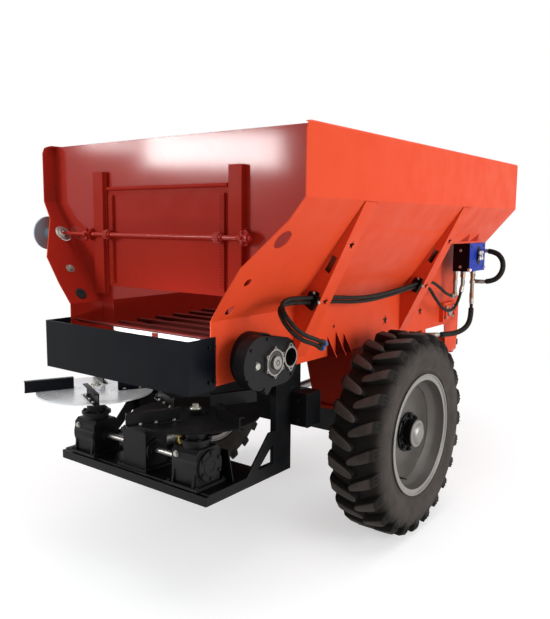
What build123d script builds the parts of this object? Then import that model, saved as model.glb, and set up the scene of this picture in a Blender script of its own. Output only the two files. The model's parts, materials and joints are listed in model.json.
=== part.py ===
from build123d import *
import math
import os

# Towed twin-disc manure spreader. Millimetres. +X is the machine's right, +Y is forward
# (towards the tractor), +Z is up. All pieces are drawn with Y = 0 on the axle line and
# Z = 0 on the ground; at the end everything moves by origin_shift_y along Y.

os.makedirs("parts", exist_ok=True)

# ---- driving dimensions -------------------------------------------------------------
# wheels
tyre_radius = 550.0            # over the lugs
lug_height = 40.0
lug_count = 24                 # on each side of the tread
tyre_facets = 24               # flats round the carcass, one for each lug
tyre_width = 290.0             # across the sidewalls
tyre_wall = 18.0
rim_radius = 330.0             # outside of the rim flange
rim_half_width = 135.0
rim_sheet = 8.0
bead_radius = 304.0            # where the tyre sits on the rim
drop_radius = 265.0            # outside of the rim's drop centre
disc_thickness = 12.0
wheel_disc_x = 36.0            # middle of the wheel disc, outwards of the tyre's middle
hub_radius = 74.0
hub_flange_radius = 118.0
track_half = 735.0             # machine centre to tyre centre
stub_radius = 35.0
stub_running_gap = 0.05

# axle
axle_height = tyre_radius      # stub axle centre above the ground
beam_size = 140.0
beam_half_length = 588.0
pillar_flange = 18.0
pillar_depth = 150.0
pillar_wall = 6.0

# hopper
sheet = 5.0
hopper_top = 2077.0
hopper_half_width = 862.0
slope_top = 1781.0
slope_foot = 1265.0
skirt_half_width = 477.0
skirt_bottom = 985.0
hopper_rear = -1118.0          # rear edge of the upper side walls
hopper_front = 1361.0
rear_wall_y = -1040.0
shelf_height = 1557.0          # ledge over the valve recess
recess_start = 570.0           # the recess runs from here to the front
front_step_y = 1283.0
front_foot_y = 1200.0
lip_width = 28.0
dart_rear_y = 880.0            # middle of the first pressed dart above the ledge

# outlet and gate
gate_half_width = 405.0
gate_plate = 6.0
gate_bottom = 1350.0
gate_top = 1847.0
outlet_half_width = 395.0
outlet_top = 1600.0
guide_outer = 497.0
guide_inner = 422.0
guide_top = 1925.0
guide_bottom = 1308.0
guide_depth = 30.0
lift_shaft_z = 1612.0
lift_shaft_radius = 11.0
lift_shaft_gap = 0.1
collar_radius = 36.0

# conveyor
shaft_y_rear = -1005.0
shaft_y_front = 1150.0
shaft_z = 1076.0
shaft_radius = 30.0
sprocket_radius = 55.5
chain_inner = 57.0
chain_outer = 73.0
chain_width = 30.0
chain_x = 330.0
slat_count = 36
slat_height = 16.0
slat_sink = 4.0                # how far a slat lets into the chain
slat_width = 40.0
slat_half_length = 385.0
chain_end_flats = 8
floor_thickness = 5.0

# chassis
rail_width = 60.0
cross_tube = 55.0
chassis_rear = -900.0
chassis_front = 1380.0

# spinner unit
disc_x = 345.0
disc_y = -1205.0
disc_top = 842.0
disc_radius = 285.0
spinner_plate = 8.0
vane_height = 58.0
vane_tip = 330.0
# Spare vane holes in each quarter of a disc: distance from the middle, offset
disc_holes = [(92, 0), (122, 0)]
tray_rear = -1304.0
tray_front = -697.0
tray_half_width = 498.0
tray_bottom = 480.0
tray_height = 42.0
post_depth = 120.0
post_width = 36.0
cross_beam_half = 590.0
cross_beam_depth = 120.0
cross_beam_foot = 700.0
cross_beam_head = 865.0
brace_reach = 223.0
brace_height = 178.0
brace_head = 53.0
cross_shaft_radius = 15.0
deflector_rear = -1387.0
deflector_half_width = skirt_half_width + 5
deflector_top = 1200.0
deflector_bottom = 972.0

# drawbar and jack
drawbar_tube_w = 80.0
drawbar_tube_h = 120.0
hitch_y = 2420.0
hitch_z = 640.0
eye_radius = 26.0
jack_y = 1930.0
nose_cross_half = 185.0

# whole machine


def prism_x(points, x0, x1):
    """A solid between x0 and x1 whose outline is given in (y, z)."""
    face = make_face(Polyline(*[(0, y, z) for y, z in points], close=True))
    return Pos(x0, 0, 0) * extrude(face, x1 - x0, dir=(1, 0, 0))


def prism_y(points, y0, y1):
    """A solid between y0 and y1 whose outline is given in (x, z)."""
    face = make_face(Polyline(*[(x, 0, z) for x, z in points], close=True))
    return Pos(0, y0, 0) * extrude(face, y1 - y0, dir=(0, 1, 0))


def prism_z(points, z0, z1):
    """A solid between z0 and z1 whose outline is given in (x, y)."""
    face = make_face(Polyline(*[(x, y, 0) for x, y in points], close=True))
    return Pos(0, 0, z0) * extrude(face, z1 - z0, dir=(0, 0, 1))


def block(x0, x1, y0, y1, z0, z1):
    return Pos((x0 + x1) / 2, (y0 + y1) / 2, (z0 + z1) / 2) * Box(x1 - x0, y1 - y0, z1 - z0)


def rod_x(radius, x0, x1, y, z):
    return Pos((x0 + x1) / 2, y, z) * Rot(0, 90, 0) * Cylinder(radius, x1 - x0)


def rod_y(radius, y0, y1, x, z):
    return Pos(x, (y0 + y1) / 2, z) * Rot(90, 0, 0) * Cylinder(radius, y1 - y0)


def rod_z(radius, z0, z1, x, y):
    return Pos(x, y, (z0 + z1) / 2) * Cylinder(radius, z1 - z0)


def folded(points, thickness):
    """Closed outline of a folded sheet: the given line and its copy on the left at `thickness`."""
    def normal(a, b):
        length = math.dist(a, b)
        return (-(b[1] - a[1]) / length, (b[0] - a[0]) / length)
    normals = [normal(a, b) for a, b in zip(points, points[1:])]
    inner = []
    for i, (px, py) in enumerate(points):
        before = normals[max(i - 1, 0)]
        after = normals[min(i, len(normals) - 1)]
        scale = thickness / (1 + before[0] * after[0] + before[1] * after[1])
        inner.append((px + (before[0] + after[0]) * scale, py + (before[1] + after[1]) * scale))
    return points + inner[::-1]


def mirrored(solid):
    return mirror(solid, about=Plane.YZ)


def star(radius, tips=5, waist=0.42):
    """Outline of a star with its first tip up."""
    points = []
    for i in range(2 * tips):
        reach = radius if i % 2 == 0 else radius * waist
        turn = math.radians(180 * i / tips + 90)
        points.append((reach * math.cos(turn), reach * math.sin(turn)))
    return points


parts = {}

# ---- wheels -------------------------------------------------------------------------
carcass_radius = tyre_radius - lug_height
half = tyre_width / 2
bead_gap = 0.3
lug_reach = 52.0               # a lug's top runs from -lug_reach to lug_reach round the tyre
lug_taper = 9.0


def revolve_x(points):
    """Turn an (x, r) outline round the X axis."""
    face = make_face(Polyline(*[(x, 0, r) for x, r in points], close=True))
    return revolve(face, Axis.X, 360)


def faceted_ring(outline, sides):
    """Turn a closed (x, r) outline round the X axis with flat sides; r is the distance to the flats."""
    stretch = 1 / math.cos(math.pi / sides)
    turns = [2 * math.pi * (i + 0.5) / sides for i in range(sides)]
    rings = [[(x, r * stretch * math.cos(turn), r * stretch * math.sin(turn)) for turn in turns]
             for x, r in outline]
    faces = []
    for near, far in zip(rings, rings[1:] + rings[:1]):
        for i in range(sides):
            j = (i + 1) % sides
            faces.append(Face(Wire.make_polygon([near[i], near[j], far[j], far[i]])))
    return Solid(Shell(faces))


def tyre():
    shoulder = carcass_radius - 12
    belly = (bead_radius + carcass_radius) / 2
    tread_half = half - 16
    bead_x = rim_half_width - 14.5
    seat = bead_radius + bead_gap
    outer = [(bead_x, seat), (bead_x, rim_radius + 3), (half, belly), (tread_half, shoulder)]
    inner = [(bead_x - tyre_wall, seat), (tread_half - tyre_wall - 6, shoulder - tyre_wall)]
    right = outer + [(-x, r) for x, r in outer[::-1]]
    carcass = faceted_ring(right + [(-x, r) for x, r in inner] + inner[::-1], tyre_facets)
    # A lug runs from just past the centre line out over the shoulder, on a slant, and tapers to its top.
    base = shoulder - 8
    top_radius = math.sqrt(tyre_radius ** 2 - lug_reach ** 2)
    foot_line = [(-14, -lug_reach - 9), (half - 12, -9), (half - 12, lug_reach + 9), (-14, 9)]
    foot = make_face(Polyline(*[(x, y, base) for x, y in foot_line], close=True))
    lug = extrude(foot, top_radius - base, dir=(0, 0, 1), taper=lug_taper)
    # The shoulder end of the lug slopes down the sidewall.
    bevel = [(half - 62, tyre_radius + 1), (half + 20, tyre_radius + 1), (half + 20, shoulder - 22),
             (half - 8, shoulder - 22)]
    lug -= prism_y(bevel, -300, 300)
    step = 360 / lug_count
    lugs = [Rot(step * i, 0, 0) * lug for i in range(lug_count)]
    other = mirror(lug, about=Plane.YZ)
    lugs += [Rot(step * (i + 0.5), 0, 0) * other for i in range(lug_count)]
    return carcass.fuse(*lugs)


def rim():
    w = rim_half_width
    line = [(w, rim_radius), (w - 12, rim_radius - 2), (w - 14, bead_radius), (w - 50, bead_radius - 6),
            (wheel_disc_x + disc_thickness / 2, drop_radius)]
    inside = [(w - 6, rim_radius - rim_sheet), (w - 6, bead_radius - rim_sheet), (w - 50, bead_radius - 6 - rim_sheet),
              (wheel_disc_x + disc_thickness / 2, drop_radius - rim_sheet)]
    back = [(-x, r) for x, r in line[::-1]]
    back_inside = [(-x, r) for x, r in inside[::-1]]
    barrel = revolve_x([(w, rim_radius - rim_sheet)] + line + back + [(-w, rim_radius - rim_sheet)]
                       + back_inside[::-1] + inside[::-1])
    front, middle, back = wheel_disc_x + disc_thickness / 2, wheel_disc_x, wheel_disc_x - disc_thickness / 2
    reach = drop_radius - rim_sheet + 1
    dish = revolve_x([(front, hub_radius), (front, 150), (middle, 190), (middle, reach),
                      (middle - disc_thickness, reach), (middle - disc_thickness, 190), (back, 150),
                      (back, hub_radius)])
    return barrel + dish


def hub():
    seat = wheel_disc_x - disc_thickness / 2
    end = rim_half_width - 30
    body = rod_x(hub_radius, -110, end, 0, 0)
    body += rod_x(hub_flange_radius, seat - 20, seat, 0, 0)
    body += revolve_x([(end, 0), (end, 66), (end + 6, 66), (end + 6, 56), (end + 14, 50), (end + 22, 34),
                       (end + 25, 0)])
    return body - rod_x(stub_radius + stub_running_gap, -111, end - 22, 0, 0)


wheel_pieces = {"tyre": tyre(), "wheel_rim": rim(), "wheel_hub": hub()}
for piece, solid in wheel_pieces.items():
    placed = Pos(track_half, 0, axle_height) * solid
    parts[piece + "_right"] = placed
    parts[piece + "_left"] = mirrored(placed)

# ---- axle ---------------------------------------------------------------------------
beam_top = axle_height + beam_size / 2
axle = block(-beam_half_length, beam_half_length, -beam_size / 2, beam_size / 2, axle_height - beam_size / 2, beam_top)
for side in (-1, 1):
    axle += rod_x(stub_radius, min(side * beam_half_length, side * (track_half + 60)),
                  max(side * beam_half_length, side * (track_half + 60)), 0, axle_height)
    axle += rod_x(stub_radius + 14, min(side * beam_half_length, side * (track_half - 117)),
                  max(side * beam_half_length, side * (track_half - 117)), 0, axle_height)
parts["axle_beam"] = axle

pillar_top = skirt_bottom
pillar_foot = beam_top + pillar_flange
pillar_outline = [(214, pillar_foot), (400, pillar_foot), (skirt_half_width - 5, pillar_top), (130, pillar_top)]
pillar_inner = [(221, pillar_foot - 1), (393, pillar_foot - 1), (skirt_half_width - 12, pillar_top + 1), (138, pillar_top + 1)]
pillar = prism_y(pillar_outline, -pillar_depth / 2, pillar_depth / 2)
pillar -= prism_y(pillar_inner, -pillar_depth / 2 + pillar_wall, pillar_depth / 2 - pillar_wall)
pillar += block(196, 418, -pillar_depth / 2 - 22, pillar_depth / 2 + 22, beam_top, pillar_foot)
parts["axle_pillars"] = Compound([pillar, mirrored(pillar)])

# ---- hopper sides ---------------------------------------------------------------------
slope_run = (hopper_half_width - skirt_half_width) / (slope_top - slope_foot)


def slope_x(z):
    """Outer face of the slope at height z."""
    return skirt_half_width + slope_run * (z - slope_foot)


shelf_half_width = slope_x(shelf_height)
rear_line = [(hopper_half_width - lip_width, hopper_top), (hopper_half_width - 8, hopper_top),
             (hopper_half_width, hopper_top - 8), (hopper_half_width, slope_top),
             (skirt_half_width, slope_foot), (skirt_half_width, skirt_bottom)]
front_line = rear_line[:4] + [(shelf_half_width, shelf_height), (skirt_half_width, shelf_height),
                              (skirt_half_width, skirt_bottom - 200)]
rear_section = folded(rear_line[::-1], sheet)
front_section = folded(front_line[::-1], sheet)
side = prism_y(rear_section, -1262, recess_start)
side += prism_y(front_section, recess_start - sheet, 1392)
closure = [(skirt_half_width, slope_foot), (skirt_half_width, shelf_height), (shelf_half_width, shelf_height)]
side += prism_y(closure, recess_start - sheet, recess_start)
# Side view of the whole panel: rear edge bulges below the slope, front leg under the recess.
side_view = [(hopper_rear + 40, hopper_top), (hopper_rear + 12, hopper_top - 12), (hopper_rear, hopper_top - 40),
             (hopper_rear, slope_top), (-1131, 1690), (-1258, 1495), (-1258, 1365), (-1247, slope_foot),
             (-1247, skirt_bottom), (1150, skirt_bottom), (1195, 785), (1290, 785), (1390, 870), (1390, 1150),
             (front_step_y, 1265), (front_step_y, shelf_height), (hopper_front, slope_top), (hopper_front, hopper_top)]
side = side & prism_x(side_view, 0, 1000)
# Sighting holes in the slope: (y, z, radius)
slope_holes = [(-1095, 1609, 46), (-1155, 1430, 21), (-1161, 1306, 27)]
slope_angle = math.degrees(math.atan2(hopper_half_width - skirt_half_width, slope_top - slope_foot))
for y, z, radius in slope_holes:
    side -= Pos(slope_x(z), y, z) * Rot(0, 90 + slope_angle, 0) * Cylinder(radius, 60)
# Star-shaped sight holes in the skirt: (y, z, radius)
for y, z, radius in [(278, 1108, 34), (753, 1116, 34), (-290, 1136, 16)]:
    side -= prism_x([(y + v, z + w) for v, w in star(radius)], skirt_half_width - 20, skirt_half_width + 20)
side -= rod_x(shaft_radius + 2, skirt_half_width - 20, skirt_half_width + 20, shaft_y_rear, shaft_z)
side -= rod_x(shaft_radius + 2, skirt_half_width - 20, skirt_half_width + 20, shaft_y_front, shaft_z)
# Pressed darts that stiffen the fold above the ledge
dart_height = 52.0
dart_reach = 20.0
dart_half = 75.0


def dart(y):
    """A four-sided stiffener with its foot on the fold and its tip up the slope."""
    foot = shelf_height + 14
    tip = foot + dart_height
    left, right = (slope_x(foot) - 2, y - dart_half, foot), (slope_x(foot) - 2, y + dart_half, foot)
    top, nose = (slope_x(tip) - 2, y, tip), (slope_x(foot) + dart_reach, y, foot)
    corners = [(left, right, top), (left, nose, right), (left, top, nose), (right, nose, top)]
    return Solid(Shell([Face(Wire.make_polygon(list(corner))) for corner in corners]))


for y in (dart_rear_y, dart_rear_y + 2 * dart_half + 10):
    side += dart(y)
parts["hopper_side_right"] = side
parts["hopper_side_left"] = mirrored(side)

# ---- hopper end walls -------------------------------------------------------------------
def load_space(section, y0, y1, foot):
    """The space between the two sides, from the folded section of the right one."""
    inner = section[len(section) // 2:]
    outline = inner + [(-x, z) for x, z in inner[::-1]]
    return prism_y(outline, y0, y1) & block(-1000, 1000, y0, y1, foot, hopper_top)


wall_foot = shaft_z + chain_outer + slat_height + 6
rear_wall = load_space(rear_section, rear_wall_y - sheet, rear_wall_y, wall_foot)
rear_wall -= block(-outlet_half_width, outlet_half_width, rear_wall_y - 10, rear_wall_y + 10, wall_foot - 10, outlet_top)
parts["hopper_rear_wall"] = rear_wall

front_profile = [(front_foot_y, wall_foot), (front_step_y, shelf_height), (hopper_front, slope_top),
                 (hopper_front, hopper_top - sheet), (hopper_front - lip_width, hopper_top - sheet)]
front_wall = prism_x(folded(front_profile, sheet), -hopper_half_width, hopper_half_width)
parts["hopper_front_wall"] = front_wall & load_space(front_section, front_foot_y - 60, hopper_front, wall_foot)

# ---- gate, guides and lift shaft ----------------------------------------------------------
guide_face = rear_wall_y - sheet
slot = gate_plate + 1
right_guide = block(guide_inner - 12, guide_outer, guide_face - guide_depth, guide_face, guide_bottom, guide_top)
right_guide -= block(guide_inner - 30, guide_inner + 20, guide_face - slot, guide_face + 1, 0, guide_top + 1)
right_guide -= block(guide_inner - 30, guide_inner, guide_face - guide_depth - 1, guide_face - slot - 5, 0, guide_top + 1)
right_guide -= block(guide_inner + 6, guide_outer - 6, guide_face - guide_depth + 6, guide_face - slot - 5, 0, guide_top + 1)
parts["gate_guides"] = Compound([right_guide, mirrored(right_guide)])

gate_rear = guide_face - 0.5 - gate_plate
gate = block(-gate_half_width - 25, gate_half_width + 25, gate_rear, gate_rear + gate_plate, gate_bottom, gate_top)
rack_depth = 12.0
for side_sign in (-1, 1):
    rack_x = side_sign * 375
    gate += block(rack_x - 14, rack_x + 14, gate_rear - rack_depth, gate_rear + 1, gate_bottom + 20, gate_top - 40)
gate += rod_x(9, -gate_half_width, gate_half_width, gate_rear - 5, gate_top - 6)
parts["gate_plate"] = gate

pinion_radius = 24.0
lift_shaft_y = gate_rear - rack_depth - pinion_radius - 0.8
left_end = -(hopper_half_width + 18)
shaft = rod_x(lift_shaft_radius, left_end + 8, 560, lift_shaft_y, lift_shaft_z)
for side_sign in (-1, 1):
    shaft += rod_x(pinion_radius, side_sign * 375 - 16, side_sign * 375 + 16, lift_shaft_y, lift_shaft_z)
shaft += rod_x(90, left_end, left_end + 12, lift_shaft_y, lift_shaft_z)
shaft += rod_x(30, left_end + 12, left_end + 40, lift_shaft_y, lift_shaft_z)
# Toothed collars outside the brackets
for side_sign in (-1, 1):
    x0, x1 = sorted((side_sign * (guide_outer + 18), side_sign * (guide_outer + 30)))
    shaft += prism_x([(lift_shaft_y + u, lift_shaft_z + v) for u, v in star(collar_radius, 6, 0.66)], x0, x1)
parts["gate_shaft"] = shaft

bracket_outline = [(guide_face, lift_shaft_z - 45), (guide_face, lift_shaft_z + 45),
                   (lift_shaft_y - 8, lift_shaft_z + 22), (lift_shaft_y - 24, lift_shaft_z),
                   (lift_shaft_y - 8, lift_shaft_z - 22)]
bracket = prism_x(bracket_outline, guide_outer + 1, guide_outer + 13)
bracket -= rod_x(lift_shaft_radius + lift_shaft_gap, guide_outer, guide_outer + 14, lift_shaft_y, lift_shaft_z)
parts["gate_shaft_brackets"] = Compound([bracket, mirrored(bracket)])

# ---- side ribs ------------------------------------------------------------------------------
rib_foot_z = 1019.0
rib_depth_y = 105.0
rib_web = [(hopper_half_width, slope_top - 6), (skirt_half_width, slope_foot), (skirt_half_width, rib_foot_z)]
rib_rear_y = (-655.0, 462.0)
# share of the rib's height, share across the web, width, length
rib_slots = [(0.623, 0.54, 30, 84), (0.39, 0.66, 28, 96)]
rib_stars = [0.26, 0.62]                          # share of the flange, from its top
rib_star_radius = 24.0
# Fins over the pillars: place along Y, reach, height
gusset_fins = [(-350, 58, 105), (-270, 66, 125), (-190, 58, 105)]
gusset_thickness = 8.0


def slot_place(share, across):
    """Middle of a slot in the ribs' webs, as (x, z)."""
    outer = skirt_half_width + (hopper_half_width - skirt_half_width) * share
    z = rib_foot_z + (slope_top - 6 - rib_foot_z) * share
    return slope_x(z) + (outer - slope_x(z)) * across, z


def rib(y0):
    body = prism_y(rib_web, y0, y0 + rib_depth_y)
    dx, dz = hopper_half_width - skirt_half_width, slope_top - 6 - rib_foot_z
    length = math.hypot(dx, dz)
    nx, nz = -dz / length, dx / length
    hollow = [(rib_web[0][0] + nx * 6, rib_web[0][1] + nz * 6), (rib_web[2][0] + nx * 6, rib_web[2][1] + nz * 6),
              (skirt_half_width - 80, rib_foot_z), (skirt_half_width - 80, slope_top), (hopper_half_width - 80, slope_top + 60)]
    body -= prism_y(hollow, y0 + 6, y0 + rib_depth_y - 6)
    tilt = math.degrees(math.atan2(dx, dz))
    for share, across, width, reach in rib_slots:
        x, z = slot_place(share, across)
        body -= Pos(x, y0 + rib_depth_y / 2, z) * Rot(0, tilt + 4, 0) * Box(width, 2 * rib_depth_y, reach)
    for share in rib_stars:
        outline = [(u, v, 0) for u, v in star(rib_star_radius)]
        cutter = extrude(make_face(Polyline(*outline, close=True)), 30, both=True)
        body -= (Pos(skirt_half_width + dx * (1 - share), y0 + rib_depth_y / 2, rib_foot_z + dz * (1 - share))
                 * Rot(0, 90 + tilt, 0) * Rot(0, 0, 90) * cutter)
    return body


gussets = []
for y, reach, height in gusset_fins:
    gussets.append(prism_y([(skirt_half_width, skirt_bottom), (skirt_half_width + reach, skirt_bottom),
                            (skirt_half_width, skirt_bottom + height)], y, y + gusset_thickness))
ribs = [rib(y0) for y0 in rib_rear_y]
parts["side_ribs_right"] = Compound(ribs + gussets)
parts["side_ribs_left"] = mirrored(Compound(ribs + gussets))

# ---- chassis under the floor ------------------------------------------------------------------
rail_outer = skirt_half_width - sheet
rail_inner = rail_outer - rail_width
rail_top = shaft_z + chain_inner - 1 - floor_thickness
chassis = block(rail_inner, rail_outer, chassis_rear, chassis_front, skirt_bottom, rail_top)
chassis -= block(rail_inner - 1, rail_outer - 5, chassis_rear - 1, chassis_front + 1, skirt_bottom + 5, rail_top - 5)
chassis -= rod_x(shaft_radius + 2, rail_inner - 1, rail_outer + 1, shaft_y_front, shaft_z)
chassis = chassis + mirrored(chassis)
for y in (-780, -300, 180, 660, 1000):
    tube = block(-rail_outer + 5, rail_outer - 5, y, y + cross_tube, rail_top - cross_tube - 5, rail_top)
    tube -= block(-rail_outer, rail_outer, y + 4, y + cross_tube - 4, rail_top - cross_tube - 1, rail_top - 4)
    chassis += tube & block(-rail_outer + 5, rail_outer - 5, y, y + cross_tube, rail_top - cross_tube - 5, rail_top - 5)
parts["chassis_frame"] = chassis

floor = block(-rail_outer, rail_outer, -925, 1072, rail_top, rail_top + floor_thickness)
parts["floor_sheet"] = floor

# ---- chain floor -------------------------------------------------------------------------------
mid_y = (shaft_y_rear + shaft_y_front) / 2
run = shaft_y_front - shaft_y_rear


def loop_band(radius, x0, x1):
    """A belt-shaped prism round both shafts, its round ends in flats."""
    ends = []
    for y, first in ((shaft_y_front, 90), (shaft_y_rear, 270)):
        for i in range(chain_end_flats + 1):
            turn = math.radians(first - 180 * i / chain_end_flats)
            ends.append((y + radius * math.cos(turn), shaft_z + radius * math.sin(turn)))
    return prism_x(ends, x0, x1)


chain = None
for side_sign in (-1, 1):
    x0 = side_sign * chain_x - chain_width / 2
    strand = loop_band(chain_outer, x0, x0 + chain_width) - loop_band(chain_inner, x0, x0 + chain_width)
    chain = strand if chain is None else chain + strand
turn_length = math.pi * chain_outer
loop_length = 2 * run + 2 * turn_length
slats = []
for i in range(slat_count):
    along = loop_length * i / slat_count
    slat = Pos(0, 0, chain_outer - slat_sink) * Box(2 * slat_half_length, slat_width, slat_height + slat_sink,
                                                    align=(Align.CENTER, Align.CENTER, Align.MIN))
    if along < run:
        slat = Pos(0, shaft_y_rear + along, shaft_z) * slat
    elif along < run + turn_length:
        slat = Pos(0, shaft_y_front, shaft_z) * Rot(-math.degrees((along - run) / chain_outer), 0, 0) * slat
    elif along < 2 * run + turn_length:
        slat = Pos(0, shaft_y_front - (along - run - turn_length), shaft_z) * Rot(180, 0, 0) * slat
    else:
        slat = (Pos(0, shaft_y_rear, shaft_z)
                * Rot(180 - math.degrees((along - 2 * run - turn_length) / chain_outer), 0, 0) * slat)
    slats.append(slat)
parts["conveyor_chain"] = chain.fuse(*slats)


def sprocket_shaft(x0, x1, y):
    body = rod_x(shaft_radius, x0, x1, y, shaft_z)
    for side_sign in (-1, 1):
        centre = side_sign * chain_x
        body += rod_x(sprocket_radius, centre - 8, centre + 8, y, shaft_z)
    return body


parts["conveyor_rear_shaft"] = sprocket_shaft(-skirt_half_width - 45, 648, shaft_y_rear)
parts["conveyor_front_shaft"] = sprocket_shaft(-skirt_half_width - 45, skirt_half_width + 45, shaft_y_front)

bearings = []
for x0, y in [(-skirt_half_width - 36, shaft_y_rear), (-skirt_half_width - 36, shaft_y_front), (skirt_half_width, shaft_y_front)]:
    housing = block(x0, x0 + 36, y - 62, y + 62, shaft_z - 48, shaft_z + 48)
    housing -= rod_x(shaft_radius + 0.05, x0 - 5, x0 + 45, y, shaft_z)
    bearings.append(housing)
parts["conveyor_bearings"] = Compound(bearings)

# Chain tensioner: a cast frame round each front bearing, with a draw screw and its tab
frame_rear, frame_front = shaft_y_front - 92, shaft_y_front + 116
tensioner = block(skirt_half_width, skirt_half_width + 30, frame_rear, frame_front, shaft_z - 66, shaft_z + 66)
tensioner -= block(skirt_half_width - 1, skirt_half_width + 31, shaft_y_front - 74, shaft_y_front + 98, shaft_z - 48.3, shaft_z + 48.3)
tensioner += block(skirt_half_width, skirt_half_width + 8, frame_front - 2, frame_front + 34, shaft_z - 20, shaft_z + 20)
tensioner += rod_y(9, shaft_y_front + 62, frame_front + 46, skirt_half_width + 18, shaft_z)
for y in (shaft_y_front + 74, frame_front):
    tensioner += Pos(skirt_half_width + 18, y, shaft_z) * Rot(-90, 0, 0) * extrude(RegularPolygon(16, 6), 14)
parts["chain_tensioners"] = Compound([tensioner, mirrored(tensioner)])

# ---- conveyor gear case ---------------------------------------------------------------------------
case_face = 620.0
case_back = 560.0
drum_radius = 122.0
motor_y = shaft_y_rear + 117
motor_z = shaft_z + 7
pilot_radius = 41.3
motor_bolt_spacing = 106.4
port_offset = 108.0            # middle of the sight port behind the drive shaft
plane = Plane(origin=(case_back, shaft_y_rear, shaft_z), x_dir=(0, 1, 0), z_dir=(1, 0, 0))
with BuildSketch() as case_outline:
    with Locations((-80, 5)):
        Circle(117)
    with Locations((74, -4)):
        Circle(105)
    make_hull()
    with BuildLine():
        Polyline((-90, -95), (-38, -140), (10, -95), close=True)
    make_face()
case = extrude(plane * case_outline.sketch, case_face - case_back, dir=(1, 0, 0))
case += rod_x(drum_radius, skirt_half_width, case_back, shaft_y_rear, shaft_z)
case -= rod_x(drum_radius - 8, skirt_half_width + 8, case_face - 10, shaft_y_rear, shaft_z)
case -= rod_x(shaft_radius + 0.05, 0, 700, shaft_y_rear, shaft_z)
case += (rod_x(50, case_face - 10, case_face + 12, shaft_y_rear, shaft_z)
         - rod_x(shaft_radius + 0.05, 0, 700, shaft_y_rear, shaft_z))
for i in range(6):
    turn = math.radians(30 + 60 * i)
    case += rod_x(9, case_face, case_face + 12, shaft_y_rear + 54 * math.cos(turn), shaft_z + 54 * math.sin(turn))
flange = rod_x(48, case_face, case_face + 12, motor_y, motor_z)
for sign in (-1, 1):
    flange += rod_x(12, case_face, case_face + 12, motor_y, motor_z + sign * motor_bolt_spacing / 2)
    flange += prism_x([(motor_y - 30, motor_z + sign * 34), (motor_y - 11, motor_z + sign * 57),
                       (motor_y + 11, motor_z + sign * 57), (motor_y + 30, motor_z + sign * 34)], case_face, case_face + 12)
case += flange
case += block(case_face, case_face + 12, shaft_y_rear + 45, motor_y - 40, shaft_z - 8, shaft_z + 14)
case -= rod_x(pilot_radius, case_back + 12, case_face + 13, motor_y, motor_z)
for sign in (-1, 1):
    case -= rod_x(5.5, case_face - 8, case_face + 13, motor_y, motor_z + sign * motor_bolt_spacing / 2)
case -= rod_x(20, case_face - 10, case_face + 1, shaft_y_rear - port_offset, shaft_z - 2)
parts["conveyor_gear_case"] = case

# ---- rear deflector and floor lip ---------------------------------------------------------------------
deflector_line = [(deflector_half_width, -1222), (deflector_half_width, deflector_rear),
                  (-deflector_half_width, deflector_rear), (-deflector_half_width, -1222)]
parts["rear_deflector"] = prism_z(folded(deflector_line[::-1], sheet), deflector_bottom, deflector_top)

lip_top = wall_foot
lip_front = shaft_y_rear - chain_outer - slat_height - 8
lip_kink = -1180.0
lip_rear = -1246.0
lip_rise = 27.0
lip_profile = [(lip_front, lip_top), (lip_kink, lip_top), (lip_rear, lip_top + lip_rise)]
lip = prism_x(folded(lip_profile, sheet), -rail_outer, rail_outer)
parts["floor_lip"] = lip

# Galvanised apron under the lip's edge, with a V-shaped tie in front of it
apron_x0, apron_x1 = -181.0, rail_outer
apron_foot = lip_top - 75
apron_top = lip_top + lip_rise * 0.55 - sheet - 3
apron = block(apron_x0, apron_x1, lip_rear + 28, lip_rear + 31, apron_foot, apron_top)
tie_x = 108.0
tie = prism_y([(tie_x - 5, apron_foot + 8), (tie_x + 5, apron_foot + 8), (tie_x + 20, apron_top - 1), (tie_x - 20, apron_top - 1)],
              lip_rear + 22, lip_rear + 28)
parts["chute_plate"] = apron + tie

# ---- spinner frame ------------------------------------------------------------------------------------
tray_top = tray_bottom + tray_height
post_rear = tray_front - post_depth
frame = block(-tray_half_width, tray_half_width, tray_rear, tray_rear + 50, tray_bottom, tray_top)
frame += block(-tray_half_width, tray_half_width, -950, -900, tray_bottom, tray_top)
frame += block(-tray_half_width, tray_half_width, tray_rear + 20, -900, tray_top, tray_top + 6)
for side_sign in (-1, 1):
    x0, x1 = sorted((side_sign * (tray_half_width - 60), side_sign * tray_half_width))
    frame += block(x0, x1, tray_rear, tray_front, tray_bottom, tray_top)
    p0, p1 = sorted((side_sign * (tray_half_width - post_width), side_sign * tray_half_width))
    frame += block(p0, p1, post_rear, tray_front, tray_bottom, skirt_bottom)
    b0, b1 = sorted((side_sign * (tray_half_width - 10), side_sign * tray_half_width))
    brace = prism_x([(post_rear - brace_reach, tray_top), (post_rear, tray_top), (post_rear, tray_top + brace_height),
                     (post_rear - brace_head, tray_top + brace_height)], b0, b1)
    brace -= prism_x([(post_rear - brace_reach * 0.6, tray_top + 20), (post_rear - 20, tray_top + 20),
                      (post_rear - 20, tray_top + brace_height * 0.66)], b0 - 1, b1 + 1)
    frame += brace
parts["spinner_frame"] = frame

beam_y0 = tray_front
cross_beam = block(-cross_beam_half, cross_beam_half, beam_y0, beam_y0 + cross_beam_depth,
                   cross_beam_foot, cross_beam_head)
cross_beam -= block(-cross_beam_half - 1, cross_beam_half + 1, beam_y0 + 8, beam_y0 + cross_beam_depth - 8,
                    cross_beam_foot + 8, cross_beam_head - 8)
for side_sign in (-1, 1):
    x0, x1 = sorted((side_sign * (rail_inner + 4), side_sign * (rail_outer - 4)))
    cross_beam += block(x0, x1, beam_y0, beam_y0 + cross_beam_depth, cross_beam_head, skirt_bottom)
parts["spinner_cross_beam"] = cross_beam

# ---- gearboxes and discs ----------------------------------------------------------------------------------
box_floor = tray_top + 6
cross_z = 622.0
gearbox_top = 700.0
neck_top = 800.0
pin_top = neck_top + 28


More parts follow.
